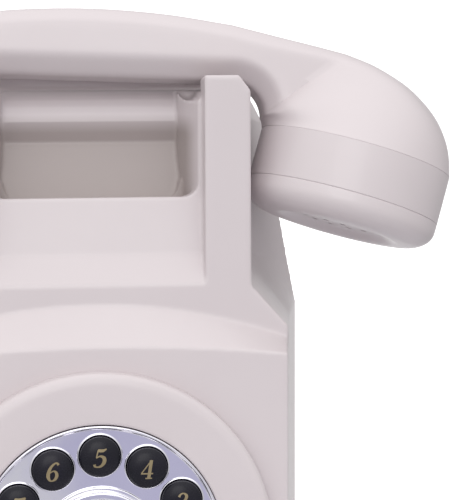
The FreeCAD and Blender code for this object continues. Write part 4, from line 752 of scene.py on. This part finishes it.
def build_buttons():
    """Twelve domed buttons, each with its gold numeral, riding on their own bodies."""
    front = BUTTON_BACK + BUTTON_FLANGE_HEIGHT
    corners = [(0, BUTTON_BACK, 0), (BUTTON_FLANGE, BUTTON_BACK, 0), (BUTTON_FLANGE, front, 0),
               (BUTTON_RADIUS, front, 0)]
    for share in DOME_SHARES:
        corners.append((BUTTON_RADIUS * share, dome_height(BUTTON_RADIUS * share), 0))
    for name, (x, z) in zip(BUTTONS, button_centres()):
        body = "button_%s_body" % name
        button = lathe("button_%s_visual" % name, corners, outward(x, z), BUTTON_STEPS)
        finish_piece(button, body, "button_plastic", "button_" + name)
        add_numeral(name, x, z, body)


# Each numeral is a few pen strokes in a box one unit high, with (x, y, half the pen's width) along each.
NUMERALS = {
    "0": [
        [(0.33, 0.96, 0.03), (0.17, 0.82, 0.07), (0.11, 0.5, 0.09), (0.17, 0.18, 0.07),
         (0.33, 0.04, 0.03), (0.49, 0.18, 0.07), (0.55, 0.5, 0.09), (0.49, 0.82, 0.07),
         (0.33, 0.96, 0.03)],
    ],
    "1": [
        [(0.36, 0.97, 0.085), (0.36, 0.03, 0.085)],
        [(0.14, 0.8, 0.03), (0.25, 0.86, 0.035), (0.36, 0.95, 0.04)],
        [(0.14, 0.03, 0.035), (0.58, 0.03, 0.035)],
    ],
    "2": [
        [(0.1, 0.7, 0.07), (0.15, 0.87, 0.055), (0.32, 0.96, 0.035), (0.49, 0.88, 0.07),
         (0.54, 0.72, 0.09), (0.45, 0.52, 0.08), (0.26, 0.28, 0.05), (0.08, 0.06, 0.035)],
        [(0.08, 0.06, 0.04), (0.28, 0.08, 0.08), (0.5, 0.07, 0.07), (0.6, 0.22, 0.03)],
    ],
    "3": [
        [(0.11, 0.78, 0.07), (0.19, 0.92, 0.045), (0.34, 0.96, 0.035), (0.49, 0.84, 0.075),
         (0.48, 0.67, 0.075), (0.36, 0.56, 0.04), (0.24, 0.53, 0.03)],
        [(0.24, 0.53, 0.03), (0.42, 0.5, 0.045), (0.55, 0.35, 0.085), (0.52, 0.17, 0.08),
         (0.36, 0.05, 0.04), (0.18, 0.06, 0.045), (0.08, 0.18, 0.075)],
    ],
    "4": [
        [(0.46, 0.97, 0.03), (0.26, 0.66, 0.03), (0.04, 0.3, 0.03)],
        [(0.02, 0.28, 0.035), (0.64, 0.28, 0.035)],
        [(0.45, 0.97, 0.085), (0.45, 0.03, 0.085)],
        [(0.28, 0.03, 0.035), (0.62, 0.03, 0.035)],
    ],
    "5": [
        [(0.15, 0.9, 0.07), (0.4, 0.89, 0.075), (0.58, 0.97, 0.03)],
        [(0.16, 0.92, 0.035), (0.12, 0.52, 0.03)],
        [(0.12, 0.52, 0.03), (0.3, 0.61, 0.045), (0.51, 0.52, 0.085), (0.56, 0.31, 0.1),
         (0.45, 0.11, 0.075), (0.27, 0.04, 0.04), (0.11, 0.08, 0.05), (0.08, 0.18, 0.075)],
    ],
    "6": [
        [(0.56, 0.86, 0.065), (0.48, 0.95, 0.045), (0.36, 0.94, 0.045), (0.2, 0.77, 0.07),
         (0.11, 0.5, 0.09), (0.12, 0.26, 0.09), (0.22, 0.08, 0.055), (0.35, 0.035, 0.035),
         (0.5, 0.13, 0.075), (0.55, 0.32, 0.085), (0.47, 0.5, 0.06), (0.33, 0.55, 0.035),
         (0.18, 0.45, 0.03)],
    ],
    "7": [
        [(0.08, 0.9, 0.07), (0.32, 0.88, 0.08), (0.62, 0.95, 0.05)],
        [(0.08, 0.95, 0.02), (0.06, 0.72, 0.025)],
        [(0.62, 0.95, 0.03), (0.46, 0.66, 0.045), (0.33, 0.38, 0.07), (0.28, 0.05, 0.09)],
    ],
    "8": [
        [(0.34, 0.96, 0.03), (0.2, 0.86, 0.06), (0.18, 0.72, 0.07), (0.34, 0.55, 0.05),
         (0.52, 0.36, 0.08), (0.52, 0.16, 0.07), (0.33, 0.04, 0.03), (0.13, 0.16, 0.07),
         (0.13, 0.36, 0.07), (0.34, 0.55, 0.04), (0.49, 0.7, 0.06), (0.48, 0.86, 0.055),
         (0.34, 0.96, 0.03)],
    ],
    "star": [
        [(0.33, 0.3, 0.02), (0.33, 0.76, 0.065)],
        [(0.33, 0.53, 0.02), (0.12, 0.66, 0.06)],
        [(0.33, 0.53, 0.02), (0.54, 0.66, 0.06)],
        [(0.33, 0.53, 0.02), (0.2, 0.3, 0.06)],
        [(0.33, 0.53, 0.02), (0.46, 0.3, 0.06)],
    ],
    "hash": [
        [(0.22, 0.94, 0.045), (0.22, 0.06, 0.045)],
        [(0.46, 0.94, 0.045), (0.46, 0.06, 0.045)],
        [(0.02, 0.64, 0.035), (0.66, 0.64, 0.035)],
        [(0.02, 0.36, 0.035), (0.66, 0.36, 0.035)],
    ],
}
NUMERALS["9"] = [[(0.66 - x, 1.0 - y, w) for x, y, w in stroke] for stroke in NUMERALS["6"]]
NUMERAL_HEIGHT = 6.1
NUMERAL_SLANT = 0.16
NUMERAL_MIDDLE = 0.33  # across the box, before the slant
NUMERAL_RELIEF = 0.07
NUMERAL_SINK = 0.1
STROKE_STEP = 0.004  # each stroke lies this much lower than the one before, so crossing ones don't merge
POINTS_ACROSS = 4


def stroke_grid(stroke):
    """Rows of points across a pen stroke, from its start to its end."""
    line = spline(stroke, max(6, 7 * len(stroke)))
    rows = []
    for k, (x, y, half) in enumerate(line):
        ahead, behind = line[min(k + 1, len(line) - 1)], line[max(k - 1, 0)]
        direction = Vector((ahead[0] - behind[0], ahead[1] - behind[1])).normalized()
        normal = Vector((-direction.y, direction.x))
        rows.append([Vector((x, y)) + normal * half * side for side in np.linspace(-1, 1, POINTS_ACROSS)])
    return rows


def on_dome(point, lift, x, z):
    """A point of a numeral laid on the dome of the button at (x, z), and lifted off it a little."""
    sheared = point.x + NUMERAL_SLANT * (point.y - 0.5) - NUMERAL_MIDDLE
    across, up = sheared * NUMERAL_HEIGHT, (point.y - 0.5) * NUMERAL_HEIGHT
    depth = dome_height(math.hypot(across, up)) + lift
    return Vector((x + across, -depth, z + up)) * MM


def stroke_faces(start, rows, across):
    """Faces of a closed slab whose back and front are grids of points."""
    size = rows * across
    faces = []
    for r in range(rows - 1):
        for c in range(across - 1):
            a = start + r * across + c
            quad = (a, a + 1, a + across + 1, a + across)
            faces.append(quad)
            faces.append(tuple(i + size for i in reversed(quad)))
        for c in (0, across - 1):
            a = start + r * across + c
            faces.append((a, a + across, a + across + size, a + size))
    for r in (0, rows - 1):
        for c in range(across - 1):
            a = start + r * across + c
            faces.append((a, a + 1, a + 1 + size, a + size))
    return faces


def add_numeral(name, x, z, body):
    """A numeral of thin gold strokes that follow the button's dome."""
    points, faces = [], []
    for level, stroke in enumerate(NUMERALS[name]):
        rows = stroke_grid(stroke)
        faces += stroke_faces(len(points), len(rows), POINTS_ACROSS)
        for lift in (-NUMERAL_SINK, NUMERAL_RELIEF - STROKE_STEP * level):
            points += [on_dome(point, lift, x, z) for row in rows for point in row]
    obj = mesh_object("numeral_" + name, points, faces, 30)
    obj.data.materials.append(MATERIALS["numeral_gold"])
    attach(obj, body)


# ---------------------------------------------------------------- carried-over pieces


def dress_cad_nodes():
    """Give every CAD node the material of its slot in the record."""
    slots = {part["node"]: part["material_slot"] for part in frame["record"]["subparts"]}
    for name, obj in frame["nodes"].items():
        obj.data.materials.clear()
        obj.data.materials.append(MATERIALS[slots[name]])


# ---------------------------------------------------------------- light, floor and camera


def build_floor():
    """A plain pale round floor under the telephone."""
    low = cad_low.z - FLOOR_GAP
    points = [Vector((x, y, low)) for x, y in circle(FLOOR_RADIUS, FLOOR_STEPS)]
    floor = mesh_object("floor", points, [tuple(range(FLOOR_STEPS))])
    material, nodes, links, shader, place = new_material("floor_pale")
    tone = mixed(nodes, links, noise(nodes, links, place, 30.0), *FLOOR_TONES)
    links.new(tone, shader.inputs["Base Color"])
    shader.inputs["Roughness"].default_value = 0.9
    floor.data.materials.append(material)


def glow(nodes, links, direction, towards, strength, tightness):
    """A soft patch of light in the surround, brightest towards one direction."""
    dot = nodes.new("ShaderNodeVectorMath")
    dot.operation = "DOT_PRODUCT"
    dot.inputs[1].default_value = Vector(towards).normalized()
    links.new(direction, dot.inputs[0])
    facing = math_node(nodes, links, "MAXIMUM", dot.outputs["Value"], 0.0)
    return math_node(nodes, links, "MULTIPLY", math_node(nodes, links, "POWER", facing, tightness), strength)


def lavender_card(nodes, links, direction):
    """Where a lavender-grey card with a wavy edge stands in front of the dial, for the chrome to mirror."""
    parts = nodes.new("ShaderNodeSeparateXYZ")
    links.new(direction, parts.inputs[0])
    wobble = math_node(nodes, links, "MULTIPLY", noise(nodes, links, direction, 5.0, 2.0), CARD_WAVE)
    across = math_node(nodes, links, "ADD", parts.outputs["X"], wobble)
    card = spread(nodes, links, across, 1.0, 0.0, *CARD_RIGHT)
    for edge in (spread(nodes, links, across, 0.0, 1.0, *CARD_LEFT),
                 spread(nodes, links, parts.outputs["Y"], 1.0, 0.0, *CARD_FRONT),
                 spread(nodes, links, parts.outputs["Z"], 1.0, 0.0, *CARD_TOP)):
        card = math_node(nodes, links, "MULTIPLY", card, edge)
    return card


def build_surround():
    """A pale studio: white behind the telephone, with soft light from above, the front and both sides."""
    world = bpy.data.worlds.new("surround")
    world.use_nodes = True
    nodes, links = world.node_tree.nodes, world.node_tree.links
    direction = nodes.new("ShaderNodeTexCoord").outputs["Generated"]
    patches = [glow(nodes, links, direction, *patch) for patch in SURROUND]
    total = patches[0]
    for patch in patches[1:] + [SURROUND_BASE]:
        total = math_node(nodes, links, "ADD", total, patch)
    light = nodes.new("ShaderNodeCombineColor")
    for socket in light.inputs:
        links.new(total, socket)
    colour = mixed(nodes, links, lavender_card(nodes, links, direction), light.outputs[0], CARD_COLOUR)
    links.new(colour, nodes["Background"].inputs["Color"])
    bpy.context.scene.world = world


def build_light():
    """One large soft square light in front, low enough to reach under the handle."""
    bpy.context.scene.view_settings.view_transform = "Standard"
    data = bpy.data.lights.new("front_light", "AREA")
    data.size = LIGHT_SIDE
    data.energy = LIGHT_POWER
    data.color = LIGHT_COLOUR
    light = bpy.data.objects.new("front_light", data)
    light.location = LIGHT_PLACE
    light.rotation_euler = (Vector(LIGHT_TARGET) - Vector(LIGHT_PLACE)).to_track_quat("-Z", "Y").to_euler()
    bpy.context.scene.collection.objects.link(light)


def build_camera():
    """A long lens close to level."""
    data = bpy.data.cameras.new("camera")
    data.lens = CAMERA_LENS
    camera = bpy.data.objects.new("camera", data)
    turn = Matrix.Rotation(math.radians(-CAMERA_TURN), 4, "Z")
    tip = Matrix.Rotation(math.radians(90 - CAMERA_DROP), 4, "X")
    roll = Matrix.Rotation(math.radians(-CAMERA_ROLL), 4, "Z")
    camera.matrix_world = Matrix.Translation(Vector(CAMERA_PLACE) * MM) @ turn @ tip @ roll
    bpy.context.scene.collection.objects.link(camera)
    bpy.context.scene.camera = camera


dress_cad_nodes()
build_case()
build_handset_shell()
build_ears()
build_bezel()
build_face_plate()
build_hole_rims()
build_centre_ring()
build_buttons()
build_floor()
build_surround()
build_light()
build_camera()
